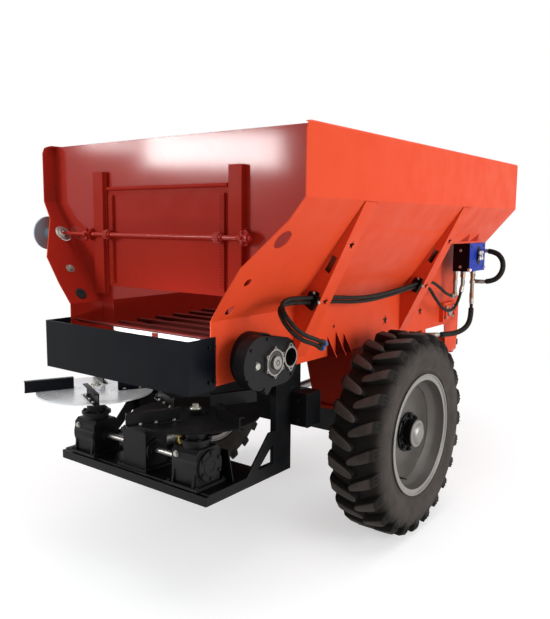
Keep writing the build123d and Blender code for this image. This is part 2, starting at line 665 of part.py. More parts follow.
def side_gearbox():
    """Bevel box with a round side cover and a bolted neck that carries the disc."""
    body = chamfer(block(-75, 75, -75, 75, box_floor, gearbox_top).edges().filter_by(Axis.X), 18)
    body += rod_x(80, -70, 78, 0, cross_z) + rod_x(70, 78, 92, 0, cross_z)
    body += rod_x(34, -100, -70, 0, cross_z)
    body += rod_z(60, gearbox_top - 10, gearbox_top + 22, 0, 0) + rod_z(46, gearbox_top + 34, neck_top, 0, 0)
    body += rod_z(72, gearbox_top + 22, gearbox_top + 34, 0, 0)
    body += rod_z(20, neck_top, pin_top, 0, 0)
    body += block(-95, 95, -95, 95, box_floor, box_floor + 12)
    for x in (-62, 62):
        body += prism_x([(-88, box_floor + 12), (88, box_floor + 12), (60, gearbox_top - 10),
                         (-60, gearbox_top - 10)], x - 5, x + 5)
    return body


def disc(blade_turn):
    body = rod_z(disc_radius, disc_top - spinner_plate, disc_top, 0, 0)
    body += rod_z(58, neck_top + 0.3, disc_top - spinner_plate, 0, 0)
    body += rod_z(46, disc_top, disc_top + 22, 0, 0)
    body -= rod_z(20.05, neck_top - 1, pin_top + 1, 0, 0)
    for i in range(4):
        blade = block(95, vane_tip, 60, 66, disc_top, disc_top + vane_height)
        blade += block(95, vane_tip, 60, 84, disc_top, disc_top + 5)
        blade += block(95, vane_tip, 60, 84, disc_top + vane_height - 5, disc_top + vane_height)
        body += Rot(0, 0, blade_turn + 90 * i) * blade
        for reach, offset in disc_holes:
            body -= Rot(0, 0, blade_turn + 90 * i + 45) * rod_z(7, disc_top - spinner_plate - 1, disc_top + 1, reach, offset)
    return body


parts["gearbox_right"] = Pos(disc_x, disc_y, 0) * side_gearbox()
parts["gearbox_left"] = mirrored(parts["gearbox_right"])
parts["spinner_disc_right"] = Pos(disc_x, disc_y, 0) * disc(-25)
parts["spinner_disc_left"] = mirrored(Pos(disc_x, disc_y, 0) * disc(-65))

centre_box = block(-78, 78, disc_y - 55, disc_y + 80, box_floor, 705)
centre_box += block(-100, 100, disc_y - 75, disc_y + 100, box_floor, box_floor + 12)
centre_box += block(-86, 86, disc_y - 62, disc_y + 86, 690, 712)
centre_box += rod_x(52, -88, 88, disc_y, cross_z) + rod_x(34, -96, 96, disc_y, cross_z)
centre_box += rod_y(42, disc_y + 80, disc_y + 110, 0, cross_z)
parts["gearbox_centre"] = centre_box

shaft_from = 96.3
shaft_to = disc_x - 100.3
half_shaft = rod_x(cross_shaft_radius, shaft_from, shaft_to, disc_y, cross_z)
parts["cross_shaft"] = Compound([half_shaft, mirrored(half_shaft)])

# Drive line: rises gently from the centre gearbox, over the axle beam, to the input stub.
line_rise = 2.2
line_length = 2500.0
line_radius = 25.0
input_stub_radius = 17.5
stub_length = 80.0
line_start_y = disc_y + 112.0
line = Cylinder(line_radius, line_length - stub_length, align=(Align.CENTER, Align.CENTER, Align.MIN))
line += Cylinder(input_stub_radius, line_length, align=(Align.CENTER, Align.CENTER, Align.MIN))
line += Cylinder(38, 60, align=(Align.CENTER, Align.CENTER, Align.MIN))
line = Pos(0, line_start_y, cross_z) * Rot(-90 + line_rise, 0, 0) * line
parts["drive_line"] = line

leg_foot = 785.0
line_axis_z = cross_z + (0 - line_start_y) * math.tan(math.radians(line_rise))
saddle_bore = Pos(0, line_start_y, cross_z) * Rot(-90 + line_rise, 0, 0) * Cylinder(line_radius + 0.05, 2 * line_length, align=(Align.CENTER, Align.CENTER, Align.MIN))
saddle = block(-70, 70, -25, 25, beam_top, beam_top + 14)
saddle += block(-45, 45, -22, 22, beam_top + 14, line_axis_z + 34)
hanger_y = 1270.0
hanger = block(-45, 45, hanger_y - 20, hanger_y + 20, leg_foot - 110, leg_foot)
parts["drive_line_bearings"] = Compound([saddle - saddle_bore, hanger - saddle_bore])

# ---- drawbar ---------------------------------------------------------------------------------------------------
tube_z1 = leg_foot + 115
start_x = skirt_half_width - sheet - drawbar_tube_w / 2
nose_y = hitch_y - 160
arm_rear = 1195.0


def arm():
    """One side tube: from the front leg of the skirt to the nose."""
    x_nose = drawbar_tube_w / 2 + 4
    rear = make_face(Polyline((start_x - 40, arm_rear, leg_foot - 5), (start_x + 40, arm_rear, leg_foot - 5),
                              (start_x + 40, arm_rear, leg_foot + 115), (start_x - 40, arm_rear, leg_foot + 115), close=True))
    mid = make_face(Polyline((start_x - 40, 1390, leg_foot - 5), (start_x + 40, 1390, leg_foot - 5),
                             (start_x + 40, 1390, leg_foot + 115), (start_x - 40, 1390, leg_foot + 115), close=True))
    nose = make_face(Polyline((x_nose - 40, nose_y, hitch_z - 60), (x_nose + 40, nose_y, hitch_z - 60),
                              (x_nose + 40, nose_y, hitch_z + 60), (x_nose - 40, nose_y, hitch_z + 60), close=True))
    return loft([rear, mid], ruled=True) + loft([mid, nose], ruled=True)


bar = arm()
bar = bar + mirrored(bar)
bar += block(-start_x, start_x, 1240, 1300, leg_foot, leg_foot + 100)
bar += block(-90, 90, nose_y - 30, nose_y + 12, hitch_z - 64, hitch_z + 64)
bar += block(-nose_cross_half, nose_cross_half, jack_y - 30, jack_y + 30, hitch_z + 16, hitch_z + 50)
parts["drawbar"] = bar

eye = block(-32, 32, nose_y + 12, hitch_y - 40, hitch_z - 25, hitch_z + 25)
eye += rod_z(62, hitch_z - 25, hitch_z + 25, 0, hitch_y)
eye -= rod_z(eye_radius, hitch_z - 40, hitch_z + 40, 0, hitch_y)
parts["hitch_eye"] = eye

# ---- jack ---------------------------------------------------------------------------------------------------------
jack_x = -290.0
housing = rod_z(38, 330, 900, jack_x, jack_y) - rod_z(31, 329, 880, jack_x, jack_y)
def arm_outside(y):
    return start_x + 40 - (start_x - drawbar_tube_w / 2 - 4) * (y - 1390) / (nose_y - 1390)


housing += prism_z([(jack_x + 34, jack_y - 28), (-arm_outside(jack_y - 28), jack_y - 28),
                    (-arm_outside(jack_y + 28), jack_y + 28), (jack_x + 34, jack_y + 28)], 680, 750)
housing += rod_z(30, 900, 925, jack_x, jack_y)
parts["jack_housing"] = housing - rod_z(31, 329, 880, jack_x, jack_y)
leg = rod_z(30.92, 12, 570, jack_x, jack_y) - rod_z(26, 30, 571, jack_x, jack_y)
leg += block(jack_x - 80, jack_x + 80, jack_y - 80, jack_y + 80, 0, 12)
parts["jack_leg"] = leg

# ---- hydraulic valve ------------------------------------------------------------------------------------------------
valve_x0, valve_x1 = 560.0, 676.0
valve_y0, valve_y1 = 1058.0, 1335.0
valve_height = 192.0
valve_z0 = shelf_height - valve_height
knob_y, knob_z = valve_y0 + 157, valve_z0 + 105
valve = block(valve_x0, valve_x1, valve_y0, valve_y1, valve_z0, shelf_height)
valve += rod_x(34, valve_x1, valve_x1 + 10, knob_y, knob_z) + rod_x(15, valve_x1 + 10, valve_x1 + 26, knob_y, knob_z)
for y in (valve_y0 + 30, valve_y1 - 30):
    valve -= rod_x(7, valve_x1 - 12, valve_x1 + 1, y, shelf_height - 24)
parts["hydraulic_valve"] = valve


def bar_between(start, end, radius):
    """A round bar from one point to another."""
    along = Vector(end) - Vector(start)
    return Plane(origin=start, z_dir=along) * Cylinder(radius, along.length, align=(Align.CENTER, Align.CENTER, Align.MIN))


def beyond(before, at, reach):
    """The point `reach` past `at` on the line from `before`."""
    step = (Vector(at) - Vector(before)).normalized() * reach
    return tuple(Vector(at) + step)


def hose(points, radius):
    """A hose along straight runs joined by arcs that share each run's length."""
    places = [Vector(point) for point in points]
    radii = []
    for before, at, after in zip(places, places[1:], places[2:]):
        half_turn = math.radians((at - before).get_angle(after - at)) / 2
        radii.append(0.45 * min((at - before).length, (after - at).length) / math.tan(half_turn))
    path = FilletPolyline(*points, radius=radii)
    return sweep(Plane(origin=places[0], z_dir=places[1] - places[0]) * Circle(radius), path=path)


# ---- hoses ----------------------------------------------------------------------------------------------------------
pair_radius = 10.0
feed_radius = 11.0
pair_gap = (6.7, 0.0, 11.1)      # from the pair's middle line to the upper hose
pair_line = [(688, -742, 1128), (718, -845, 1160), (748, -947, 1186), (729, -1008, 1226), (681, -1020, 1284),
             (634, -977, 1326), (606, -862, 1332), (592, -742, 1322), (586, -505, 1308), (594, -195, 1277),
             (594, 120, 1288), (590, 400, 1312)]
upper_line = [tuple(a + b for a, b in zip(point, pair_gap)) for point in pair_line]
upper_line += [(596.7, 640, 1329.1), (594, 800, 1270), (586, 930, 1215), (576, 1040, 1200)]
lower_line = [tuple(a - b for a, b in zip(point, pair_gap)) for point in pair_line]
lower_line += [(583, 625, 1303), (581, 745, 1210), (585, 880, 1118), (595, 1000, 1104), (603, 1080, 1160),
               (606, 1120, 1252)]
loop_line = [(660, 1350, 1497), (744, 1350, 1497), (806, 1340, 1435), (806, 1325, 1347), (744, 1310, 1285),
             (660, 1300, 1285)]
drop_line = [(640, 1215, 1170), (640, 1223, 1080), (634, 1205, 992), (604, 1130, 945), (556, 1020, 935),
             (512, 915, 943)]
parts["hose_line_upper"] = hose(upper_line, pair_radius)
parts["hose_line_lower"] = hose(lower_line, pair_radius)
parts["hose_line_loop"] = hose(loop_line, feed_radius)
parts["hose_line_drop"] = hose(drop_line, feed_radius)

# Loose ends: a crimped ferrule, a coloured sleeve and a plug, in line with each hose
fittings = []
for line in (upper_line, lower_line):
    at = line[0]
    for radius, reach in [(13, 30), (16, 28), (10, 26)]:
        end = beyond(line[1], at, reach)
        fittings.append(bar_between(at, end, radius))
        at = end
parts["hose_fittings"] = Compound([fittings[0] + fittings[1] + fittings[2], fittings[3] + fittings[4] + fittings[5]])

# Clamp blocks on the ribs' rear webs, bored for both hoses
clamp_thickness = 24.0
clamps = []
clamp_x, clamp_z = slot_place(*rib_slots[1][:2])
for y0, first, second in [(rib_rear_y[0], 7, 8), (rib_rear_y[1], 11, 12)]:
    clamp = Pos(clamp_x, y0 - clamp_thickness / 2, clamp_z) * Rot(0, 31, 0) * Box(58, clamp_thickness, 72)
    for line in (upper_line, lower_line):
        clamp -= hose(line[first - 1:second + 2], pair_radius + 0.2)
    clamps.append(clamp)
parts["hose_clamps"] = Compound(clamps)

# Fittings under the valve: (x, y, length of the column), then each hose's own spigot
columns = [(574, 1080, 165), (606, 1130, 85), (640, 1215, 180), (610, 1300, 95)]
pipes = []
for x, y, reach in columns:
    pipe = rod_z(13, valve_z0 - reach, valve_z0, x, y)
    for z in (valve_z0 - 20, valve_z0 - reach / 2):
        pipe += Pos(x, y, z) * extrude(RegularPolygon(19, 6), 20)
    pipes.append(pipe)
pipes[0] += bar_between(upper_line[-1], beyond(upper_line[-2], upper_line[-1], 52), 13) + rod_z(17, valve_z0 - 175, valve_z0 - 143, 574, 1080)
pipes[1] += bar_between(lower_line[-1], beyond(lower_line[-2], lower_line[-1], 50), 13)
pipes[2] += bar_between(drop_line[0], beyond(drop_line[1], drop_line[0], 40), 14)
pipes[3] += bar_between(loop_line[-1], beyond(loop_line[-2], loop_line[-1], 52), 14) + rod_z(17, valve_z0 - 97, valve_z0 - 63, 610, 1300)
outlet = rod_y(18, valve_y1, loop_line[0][1] + 14, 640, loop_line[0][2]) + rod_x(14, 640, loop_line[0][0], loop_line[0][1], loop_line[0][2])
bulkhead = block(rail_inner + 28, rail_outer + 5, 790, 850, skirt_bottom - 55, skirt_bottom)
bulkhead += bar_between(drop_line[-1], beyond(drop_line[-2], drop_line[-1], 100), 14)
parts["valve_fittings"] = Compound([pipes[0] + pipes[1], pipes[2], pipes[3], outlet, bulkhead])

overall = Compound(list(parts.values())).bounding_box()
origin_shift_y = -round((overall.min.Y + overall.max.Y) / 2, 3)
for name in list(parts):
    parts[name] = Pos(0, origin_shift_y, 0) * parts[name]
    export_step(parts[name], f"parts/{name}.step")
print(len(parts), "pieces, moved along Y by", origin_shift_y)
box = Compound(list(parts.values())).bounding_box()
print("box", [round(v, 1) for v in (box.min.X, box.min.Y, box.min.Z, box.max.X, box.max.Y, box.max.Z)])
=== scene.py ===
import json
import math
import random

import bmesh
import bpy
from mathutils import Matrix, Vector


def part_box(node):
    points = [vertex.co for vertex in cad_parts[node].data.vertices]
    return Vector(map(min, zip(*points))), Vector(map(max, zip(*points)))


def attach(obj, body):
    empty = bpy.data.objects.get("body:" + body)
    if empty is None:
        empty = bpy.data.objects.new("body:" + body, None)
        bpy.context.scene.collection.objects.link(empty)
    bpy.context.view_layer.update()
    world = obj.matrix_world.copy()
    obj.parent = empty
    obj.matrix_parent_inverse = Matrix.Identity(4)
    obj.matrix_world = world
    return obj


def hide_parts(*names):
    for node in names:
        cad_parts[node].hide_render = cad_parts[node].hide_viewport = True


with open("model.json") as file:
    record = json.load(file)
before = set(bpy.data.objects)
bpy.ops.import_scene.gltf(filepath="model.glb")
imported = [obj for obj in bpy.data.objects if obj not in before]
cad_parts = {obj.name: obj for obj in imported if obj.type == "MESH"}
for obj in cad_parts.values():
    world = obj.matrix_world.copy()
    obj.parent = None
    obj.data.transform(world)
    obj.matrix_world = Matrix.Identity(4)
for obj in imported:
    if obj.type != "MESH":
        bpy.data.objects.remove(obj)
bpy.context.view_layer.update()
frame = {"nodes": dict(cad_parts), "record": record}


# ---- Camera ----
# Seen from behind and to the right of the machine, a little below the top of the hopper.
def added(name, data):
    """A new object in the scene, at the origin."""
    new = bpy.data.objects.new(name, data)
    bpy.context.collection.objects.link(new)
    return new


def given(thing, **values):
    """A thing, with its attributes set."""
    for name, value in values.items():
        setattr(thing, name, value)
    return thing


camera = added("camera", given(bpy.data.cameras.new("camera"), lens=39.57, sensor_width=36.0, clip_end=200.0))
camera_place = (2.388, -3.789, 1.679)
heading, dip, roll = 37.27, 7.28, 0.506
camera.matrix_world = (Matrix.Translation(camera_place)
                       @ Matrix.Rotation(math.radians(heading), 4, "Z")
                       @ Matrix.Rotation(math.radians(90 - dip), 4, "X")
                       @ Matrix.Rotation(math.radians(roll), 4, "Z"))
bpy.context.scene.camera = camera
bpy.context.scene.view_settings.view_transform = "Standard"


# ---- Studio floor and light ----
# A matt white floor that runs out to plain white a few metres from the machine, and large
# soft lamps: one on the right, one above, and narrow strips behind for the glossy rear wall.
def linear(hex_colour):
    """An sRGB hex colour as linear RGBA."""
    channels = [int(hex_colour[i:i + 2], 16) / 255 for i in (1, 3, 5)]
    return [c / 12.92 if c <= 0.04045 else ((c + 0.055) / 1.055) ** 2.4 for c in channels] + [1.0]


def feed(target, feeds):
    """Feeds a node's inputs, each with a socket, a node's first output or a plain value."""
    for name, source in feeds.items():
        if isinstance(source, bpy.types.Node):
            source = source.outputs[0]
        if isinstance(source, bpy.types.NodeSocket):
            target.id_data.links.new(source, target.inputs[name])
        else:
            target.inputs[name].default_value = source


def node(tree, kind, feeds=None, **settings):
    """Adds a shader node. Settings are its attributes or its sockets' values."""
    new = tree.nodes.new("ShaderNode" + kind)
    for name, value in settings.items():
        if hasattr(new, name):
            setattr(new, name, value)
        else:
            new.inputs[name.replace("_", " ")].default_value = value
    feed(new, feeds or {})
    return new


def seen(tree):
    """1 for rays that show the surroundings, straight or through gloss and glass; 0 for their light."""
    ray = node(tree, "LightPath").outputs
    mirrored = node(tree, "Math", {0: ray["Is Glossy Ray"], 1: ray["Is Transmission Ray"]},
                    operation="MAXIMUM")
    return node(tree, "Math", {0: ray["Is Camera Ray"], 1: mirrored}, operation="MAXIMUM")


def facing(place, direction, axis="Z", up="Y"):
    """The matrix that stands a shape at a place, with its own axis along a direction."""
    return Matrix.Translation(place) @ Vector(direction).to_track_quat(axis, up).to_matrix().to_4x4()


def as_mesh(name, shape):
    """A bmesh as a mesh; the bmesh is freed."""
    mesh = bpy.data.meshes.new(name)
    shape.to_mesh(mesh)
    shape.free()
    return mesh


# Rays that show the surroundings meet plain white; the room lights the machine less than that.
world = bpy.data.worlds.new("studio")
bpy.context.scene.world = world
world.use_nodes = True
tree = world.node_tree
tree.nodes.clear()
white = node(tree, "Background", Color=(1, 1, 1, 1), Strength=1.0)
room = node(tree, "Background", Color=(0.95, 0.97, 1.0, 1), Strength=0.42)
air = node(tree, "MixShader", {0: seen(tree), 1: room, 2: white})
node(tree, "OutputWorld", {"Surface": air})

# The floor lies 1 mm under the wheels, and goes over to plain white between 2.6 m and 4.5 m
# from the machine's middle.
floor_paint = bpy.data.materials.new("matt white floor paint")
floor_paint.use_nodes = True
tree = floor_paint.node_tree
tree.nodes.clear()
matt = node(tree, "BsdfDiffuse", Color=(0.66, 0.66, 0.66, 1))
glow = node(tree, "Emission", Color=(1, 1, 1, 1), Strength=0.52)
lit = node(tree, "AddShader", {0: matt, 1: glow})
plain = node(tree, "Emission", Color=(1, 1, 1, 1), Strength=1.0)
where = node(tree, "TexCoord").outputs["Object"]
away = node(tree, "VectorMath", {0: where}, operation="LENGTH")
fade = node(tree, "MapRange", {"Value": away.outputs["Value"]}, interpolation_type="SMOOTHSTEP",
            From_Min=2.6, From_Max=4.5)
shown = node(tree, "MixShader", {0: fade, 1: lit, 2: plain})
either = node(tree, "MixShader", {0: seen(tree), 1: matt, 2: shown})
node(tree, "OutputMaterial", {"Surface": either})
shape = bmesh.new()
bmesh.ops.create_grid(shape, x_segments=1, y_segments=1, size=60)
floor = added("floor", as_mesh("floor", shape))
floor.location.z = -0.001
floor.data.materials.append(floor_paint)

# name, where it hangs, where it points, width, height, watts
for name, place, aim, width, height, power in [
        ("lamp_right", (6.5, 0.2, 1.9), (0, 0, 1.1), 4.0, 3.0, 265),
        ("lamp_above", (0.5, -1.0, 6.5), (0, -0.4, 1), 5.0, 5.0, 190),
        ("lamp_rear", (-3.88, -6.1, 2.64), (0.2, -1.5, 1.9), 1.8, 0.46, 132),
        ("lamp_corner", (-6.0, -6.1, 2.85), (-0.4, -1.5, 1.9), 0.8, 0.22, 14),
        ("lamp_apron", (0.145, -1.83, 1.178), (0.145, -1.687, 1.15), 0.66, 0.02, 1.6)]:
    lamp = given(bpy.data.lights.new(name, "AREA"), shape="RECTANGLE", size=width, size_y=height,
                 energy=power)
    added(name, lamp).matrix_world = facing(place, Vector(place) - Vector(aim))


# ---- Hopper, ribs and chassis ----
# Sheared and folded 5 mm sheet and tube, welded up and sprayed with one orange-red enamel.
# The paint rounds the sheared edges over, and on big panels the sheet shows slow waves.
def new_material(name, colour, roughness, metallic=0.0, specular=0.5, **settings):
    """A material, its node tree, its Principled shader and its object coordinates."""
    material = bpy.data.materials.new(name)
    material.use_nodes = True
    shader = material.node_tree.nodes["Principled BSDF"]
    settings.update(Base_Color=linear(colour), Roughness=roughness, Metallic=metallic,
                    Specular_IOR_Level=specular)
    for key, value in settings.items():
        shader.inputs[key.replace("_", " ")].default_value = value
    tree = material.node_tree
    return material, tree, shader, node(tree, "TexCoord").outputs["Object"]


def sprayed(name, colour, dusty, roughness, wave=0.0, peel=0.000004, **settings):
    """Sprayed paint. Its tone drifts over 600 mm, under a film of dust in patches of 125 mm, and
    the sheet waves over 300 mm. Wave and peel are the depths of the waves and of the skin, in metres."""
    material, tree, shader, where = new_material(name, colour, roughness, **settings)
    drift = node(tree, "TexNoise", {"Vector": where}, Scale=1.7, Detail=4.0, Roughness=0.6)
    patches = node(tree, "TexNoise", {"Vector": where}, Scale=8.0, Detail=2.0, Roughness=0.5)
    amount = node(tree, "Math", {0: drift, 1: patches}, operation="MULTIPLY")
    spread = node(tree, "MapRange", {"Value": amount}, From_Min=0.16, From_Max=0.46, To_Min=0.0, To_Max=0.25)
    tone = node(tree, "Mix", {"Factor": spread, 6: linear(colour), 7: linear(dusty)}, data_type="RGBA")
    dull = node(tree, "MapRange", {"Value": patches}, From_Min=0.3, From_Max=0.75,
                To_Min=roughness * 0.85, To_Max=roughness * 1.25)
    # The skin's grain is 3 mm on castings, drawn 8 mm wide so that it shows. On sheet it is faint.
    skin = node(tree, "TexNoise", {"Vector": where}, Scale=125.0, Detail=2.0)
    bump = node(tree, "Bump", {"Height": skin}, Strength=0.3, Distance=peel)
    if wave:
        slow = node(tree, "TexNoise", {"Vector": where}, Scale=3.2, Detail=1.0)
        bump = node(tree, "Bump", {"Height": slow, "Normal": bump}, Strength=1.0, Distance=wave)
    feed(shader, {"Base Color": tone.outputs[2], "Roughness": dull, "Normal": bump})
    return material


def mottled(name, colour, roughness, tones, scale, detail=None, fine=0.5, gloss=None, **settings):
    """A finish that goes between two tones: in clouds where detail is given and in cells where it
    isn't, 1 / scale metres wide. Gloss gives the two roughnesses that go with them."""
    material, tree, shader, where = new_material(name, colour, roughness, **settings)
    if detail is None:
        pattern = node(tree, "TexVoronoi", {"Vector": where}, Scale=scale)
    else:
        pattern = node(tree, "TexNoise", {"Vector": where}, Scale=scale, Detail=detail, Roughness=fine)
    if gloss:
        sheen = node(tree, "MapRange", {"Value": pattern}, To_Min=gloss[0], To_Max=gloss[1])
        feed(shader, {"Roughness": sheen})
    tone = node(tree, "Mix", {"Factor": pattern, 6: linear(tones[0]), 7: linear(tones[1])}, data_type="RGBA")
    feed(shader, {"Base Color": tone.outputs[2]})
    return material


orange_enamel = sprayed("orange enamel on sheet steel", "#DD4A27", "#C63D20", 0.42, wave=0.005, specular=0.1)
shade_enamel = sprayed("orange enamel in deep shade", "#A82C1A", "#952515", 0.45, specular=0.03)
# Inside and at the rear the same orange enamel is painted dark red as its shade, under a coat that gives its
# own red reflections.
shaded_red_enamel = sprayed("orange enamel painted dark red as shade", "#A8281C", "#8F2118", 0.3, wave=0.006,
                     specular=0.03, Coat_Weight=0.4, Coat_Roughness=0.11)
# Deep in the outlet, in the ribs' channels and on the walls' inner faces the red is painted darker still, as
# deep shade.
deep_shade_enamel = sprayed("enamel painted dark red as deep shade", "#5A1611", "#40120E", 0.5, wave=0.003,
                       specular=0.04)
bodies = frame["record"]["behaviour"]["bodies"]
body_with = {member: body for body, members in bodies.items() for member in members}
sides = ((1, "right"), (-1, "left"))
up = (0, 0, 1)
tyre_low, tyre_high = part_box("tyre_right")
axle_y = (tyre_low[1] + tyre_high[1]) / 2


def finished(shape, name, materials, easing=0.0, body=None, angle=30, stands_for=None):
    """A bmesh as a piece, with its sharp edges eased by `easing` metres. Unless it is given, its body is
    that of the piece it stands for, or else the chassis."""
    for face in shape.faces:
        face.smooth = True
    mesh = as_mesh(name, shape)
    mesh.set_sharp_from_angle(angle=math.radians(angle))
    for material in materials:
        mesh.materials.append(material)
    piece = added(name, mesh)
    if easing:
        given(piece.modifiers.new("eased edges", "BEVEL"), width=easing, segments=2, limit_method="ANGLE",
              angle_limit=math.radians(angle), harden_normals=True)
    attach(piece, body or body_with.get(stands_for, "root"))
    if stands_for:
        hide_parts(stands_for)
    return piece


def eased(name, easing, *materials, pick=None):
    """A merged copy of a CAD piece with its edges eased, in its place. pick(middle, normal)
    chooses a face's material where there are several."""
    shape = bmesh.new()
    shape.from_mesh(frame["nodes"][name].data)
    bmesh.ops.remove_doubles(shape, verts=shape.verts, dist=0.00002)
    bmesh.ops.dissolve_limit(shape, angle_limit=math.radians(1.0), verts=shape.verts, edges=shape.edges)
    for face in shape.faces:
        face.material_index = pick(face.calc_center_median(), face.normal) if pick else 0
    return finished(shape, name + "_finish", materials, easing, stands_for=name)


def spot(x, y, z):
    """A place in millimetres from the ground under the axle's middle, in the row frame."""
    return Vector((x / 1000, y / 1000 + axle_y, z / 1000))


for name in ("chassis_frame", "drawbar"):
    eased(name, 0.0015, orange_enamel)
eased("axle_pillars", 0.0015, shade_enamel)


def rib_face(middle, normal):
    """The insides of the channels that the ribs are folded to, and the ribs' inner faces, get the darker red,
    painted as the shade in them.
    """
    rib_middle = axle_y + (0.5145 if middle.y > axle_y else -0.6025)
    return int((middle.y - rib_middle) * normal.y < -0.005 or normal.x * middle.x < -0.15)


for name in ("side_ribs_right", "side_ribs_left"):
    eased(name, 0.0015, orange_enamel, deep_shade_enamel, pick=rib_face)


def side_face(middle, normal):
    """Inner faces are painted red as shade, and so is the load's side of the ledge at the front, 1.56 m up;
    the small darts under it get the darker orange, painted as the shade they stand in."""
    at_front = middle.y > 0.3
    if at_front and 1.56 < middle.z < 1.63 and abs(normal.y) > 0.1:
        return 2
    on_ledge = at_front and (normal.z > 0.9 and 1.5 < middle.z < 1.6
                             or normal.y < -0.9 and 1.2 < middle.z < 1.56)
    return int(normal.x * middle.x < -0.15 or on_ledge)


for name in ("hopper_side_right", "hopper_side_left"):
    eased(name, 0.0015, orange_enamel, shaded_red_enamel, shade_enamel, pick=side_face)
# The front wall's inner faces and the rear wall's inner face get the darker red as painted deep shade; the
# rear wall's outer face gets the red painted as shade.
eased("hopper_front_wall", 0.0015, orange_enamel, deep_shade_enamel,
      pick=lambda middle, normal: int(normal.y < -0.2))
eased("hopper_rear_wall", 0.0012, shaded_red_enamel, deep_shade_enamel, pick=lambda middle, normal: int(normal.y > 0.2))
for name in ("floor_sheet", "floor_lip"):
    eased(name, 0.0012, deep_shade_enamel)


def grid(xs, ys, zs, direction):
    """Bolts at every mix of the given x, y and z in mm, all facing one way."""
    return [(spot(x, y, z), direction) for x in xs for y in ys for z in zs]


def circle(count, radius, first=0.0):
    """Places round a circle, the first of them at `first` degrees."""
    turns = [math.radians(first) + math.tau * i / count for i in range(count)]
    return [(radius * math.cos(turn), radius * math.sin(turn)) for turn in turns]


def cone(shape, count, foot, top, height, stand):
    """Adds a cone or drum with `count` sides: its radii and height in metres, its middle at `stand`."""
    bmesh.ops.create_cone(shape, cap_ends=True, segments=count, radius1=foot, radius2=top, depth=height,
                          matrix=stand)


def bolt_heads(name, bolts, size, black=None, body="root", nuts=False):
    """Hexagon heads or nuts on washers, zinc-plated or black: bolts lists (place, the way it faces),
    size is half its width."""
    shape = bmesh.new()
    turn = random.Random(len(bolts) + int(size * 1e6))
    for place, direction in bolts:
        at = facing(place, direction) @ Matrix.Rotation(turn.uniform(0, 1), 4, "Z")
        # sides, radius at the foot and at the top, where it starts, height: all but the first in sizes
        rings = [(24, 1.28, 1.28, 0.0, 0.22), (6, 1.12, 1.12, 0.22, 0.72), (6, 1.12, 0.95, 0.94, 0.10)]
        if nuts:
            rings.append((12, 0.55, 0.50, 1.04, 0.55))
        for count, foot, top, start, height in rings:
            cone(shape, count, foot * size, top * size, height * size,
                 at @ Matrix.Translation((0, 0, (start + height / 2) * size)))
    finished(shape, name, [black or zinc_metal], body=body)


def weld_bead(name, material, lines, width=0.007):
    """Weld beads: each line is a list of points, with an oval drop every few millimetres."""
    shape = bmesh.new()
    turn = random.Random(7)
    for line in lines:
        for start, end in zip(line, line[1:]):
            along = end - start
            count = max(2, int(along.length / (width * 0.8)))
            for i in range(count):
                at = facing(start + along * (i + 0.5) / count, along, "X", "Z")
                bmesh.ops.create_icosphere(shape, subdivisions=1, radius=width * turn.uniform(0.44, 0.56),
                                           matrix=at @ Matrix.Diagonal((0.8, 1, 0.7, 1)))
    finished(shape, name, [material], angle=80)


# Welds where the ribs stand on the slope, on both sides of the machine and of each rib
rib_line = [(862, 1775), (477, 1265), (477, 1019)]
for side, label in sides:
    weld_bead("rib_welds_" + label, orange_enamel,
              [[spot(side * (x + 1), y, z) for x, z in rib_line] for y in (-655, -550, 462, 567)])

# Black discs behind the star-shaped holes are painted shade, for the dark hollow of the rail behind them.
# Their foam texture's cells are 2.5 mm.
foam_and_shade_black = mottled("black foam and painted shade", "#0B0A09", 0.95, ("#060505", "#171412"), 400.0)
sideways = Matrix.Rotation(math.pi / 2, 4, "Y")
shape = bmesh.new()
for side in (-1, 1):
    for y, z, radius in ((278, 1108, 0.034), (753, 1116, 0.034), (-290, 1136, 0.016)):
        cone(shape, 24, radius, radius, 0.0012, Matrix.Translation(spot(side * 472.6, y, z)) @ sideways)
finished(shape, "star_hole_shade", [foam_and_shade_black])

# Zinc-plated bolts, with a dull bloom in spots, hold the pillars' feet to the axle beam.
zinc_metal = mottled("zinc plate", "#A8A79F", 0.42, ("#8C8B84", "#C2C1B8"), 60.0, 4.0, metallic=0.85)
bolt_heads("pillar_bolts", grid((-205, -409, 205, 409), (-84, 84), (638,), up), 0.011)


# ---- Tyres ----
# Farm tyres of vulcanised rubber: a smooth carcass with 24 slanting lugs a side, moulded in
# one. The tread is scuffed grey-black, and dry earth dust clings to the sidewalls.
tyre_x = (tyre_low[0] + tyre_high[0]) / 2
wheel_height = (tyre_low[2] + tyre_high[2]) / 2
crown = (tyre_high[2] - tyre_low[2]) / 2 * 1000

rubber, tree, shader, where = new_material("vulcanised rubber", "#221E1B", 0.72, specular=0.15)
centred = node(tree, "Mapping", {"Vector": where}, Location=(0, -axle_y, -wheel_height))
flat = node(tree, "VectorMath", {0: centred, 1: (0, 1, 1)}, operation="MULTIPLY")
from_axle = node(tree, "VectorMath", {0: flat}, operation="LENGTH").outputs["Value"]
# Dust lies on the sidewall, inside the tread's foot at 0.50 m.
side_dust = node(tree, "MapRange", {"Value": from_axle}, From_Min=0.505, From_Max=0.44, To_Max=0.62)
# The lugs' crowns are scuffed pale where they touch the ground.
crown_dust = node(tree, "MapRange", {"Value": from_axle}, From_Min=0.540, From_Max=0.546, To_Max=0.85)
dust = node(tree, "Math", {0: side_dust, 1: crown_dust}, operation="MAXIMUM")
cloud = node(tree, "TexNoise", {"Vector": where}, Scale=9.0, Detail=5.0, Roughness=0.65)
cover = node(tree, "Math", {0: dust, 1: cloud}, operation="MULTIPLY")
tone = node(tree, "Mix", {"Factor": cover, 6: linear("#181513"), 7: linear("#665E58")}, data_type="RGBA")
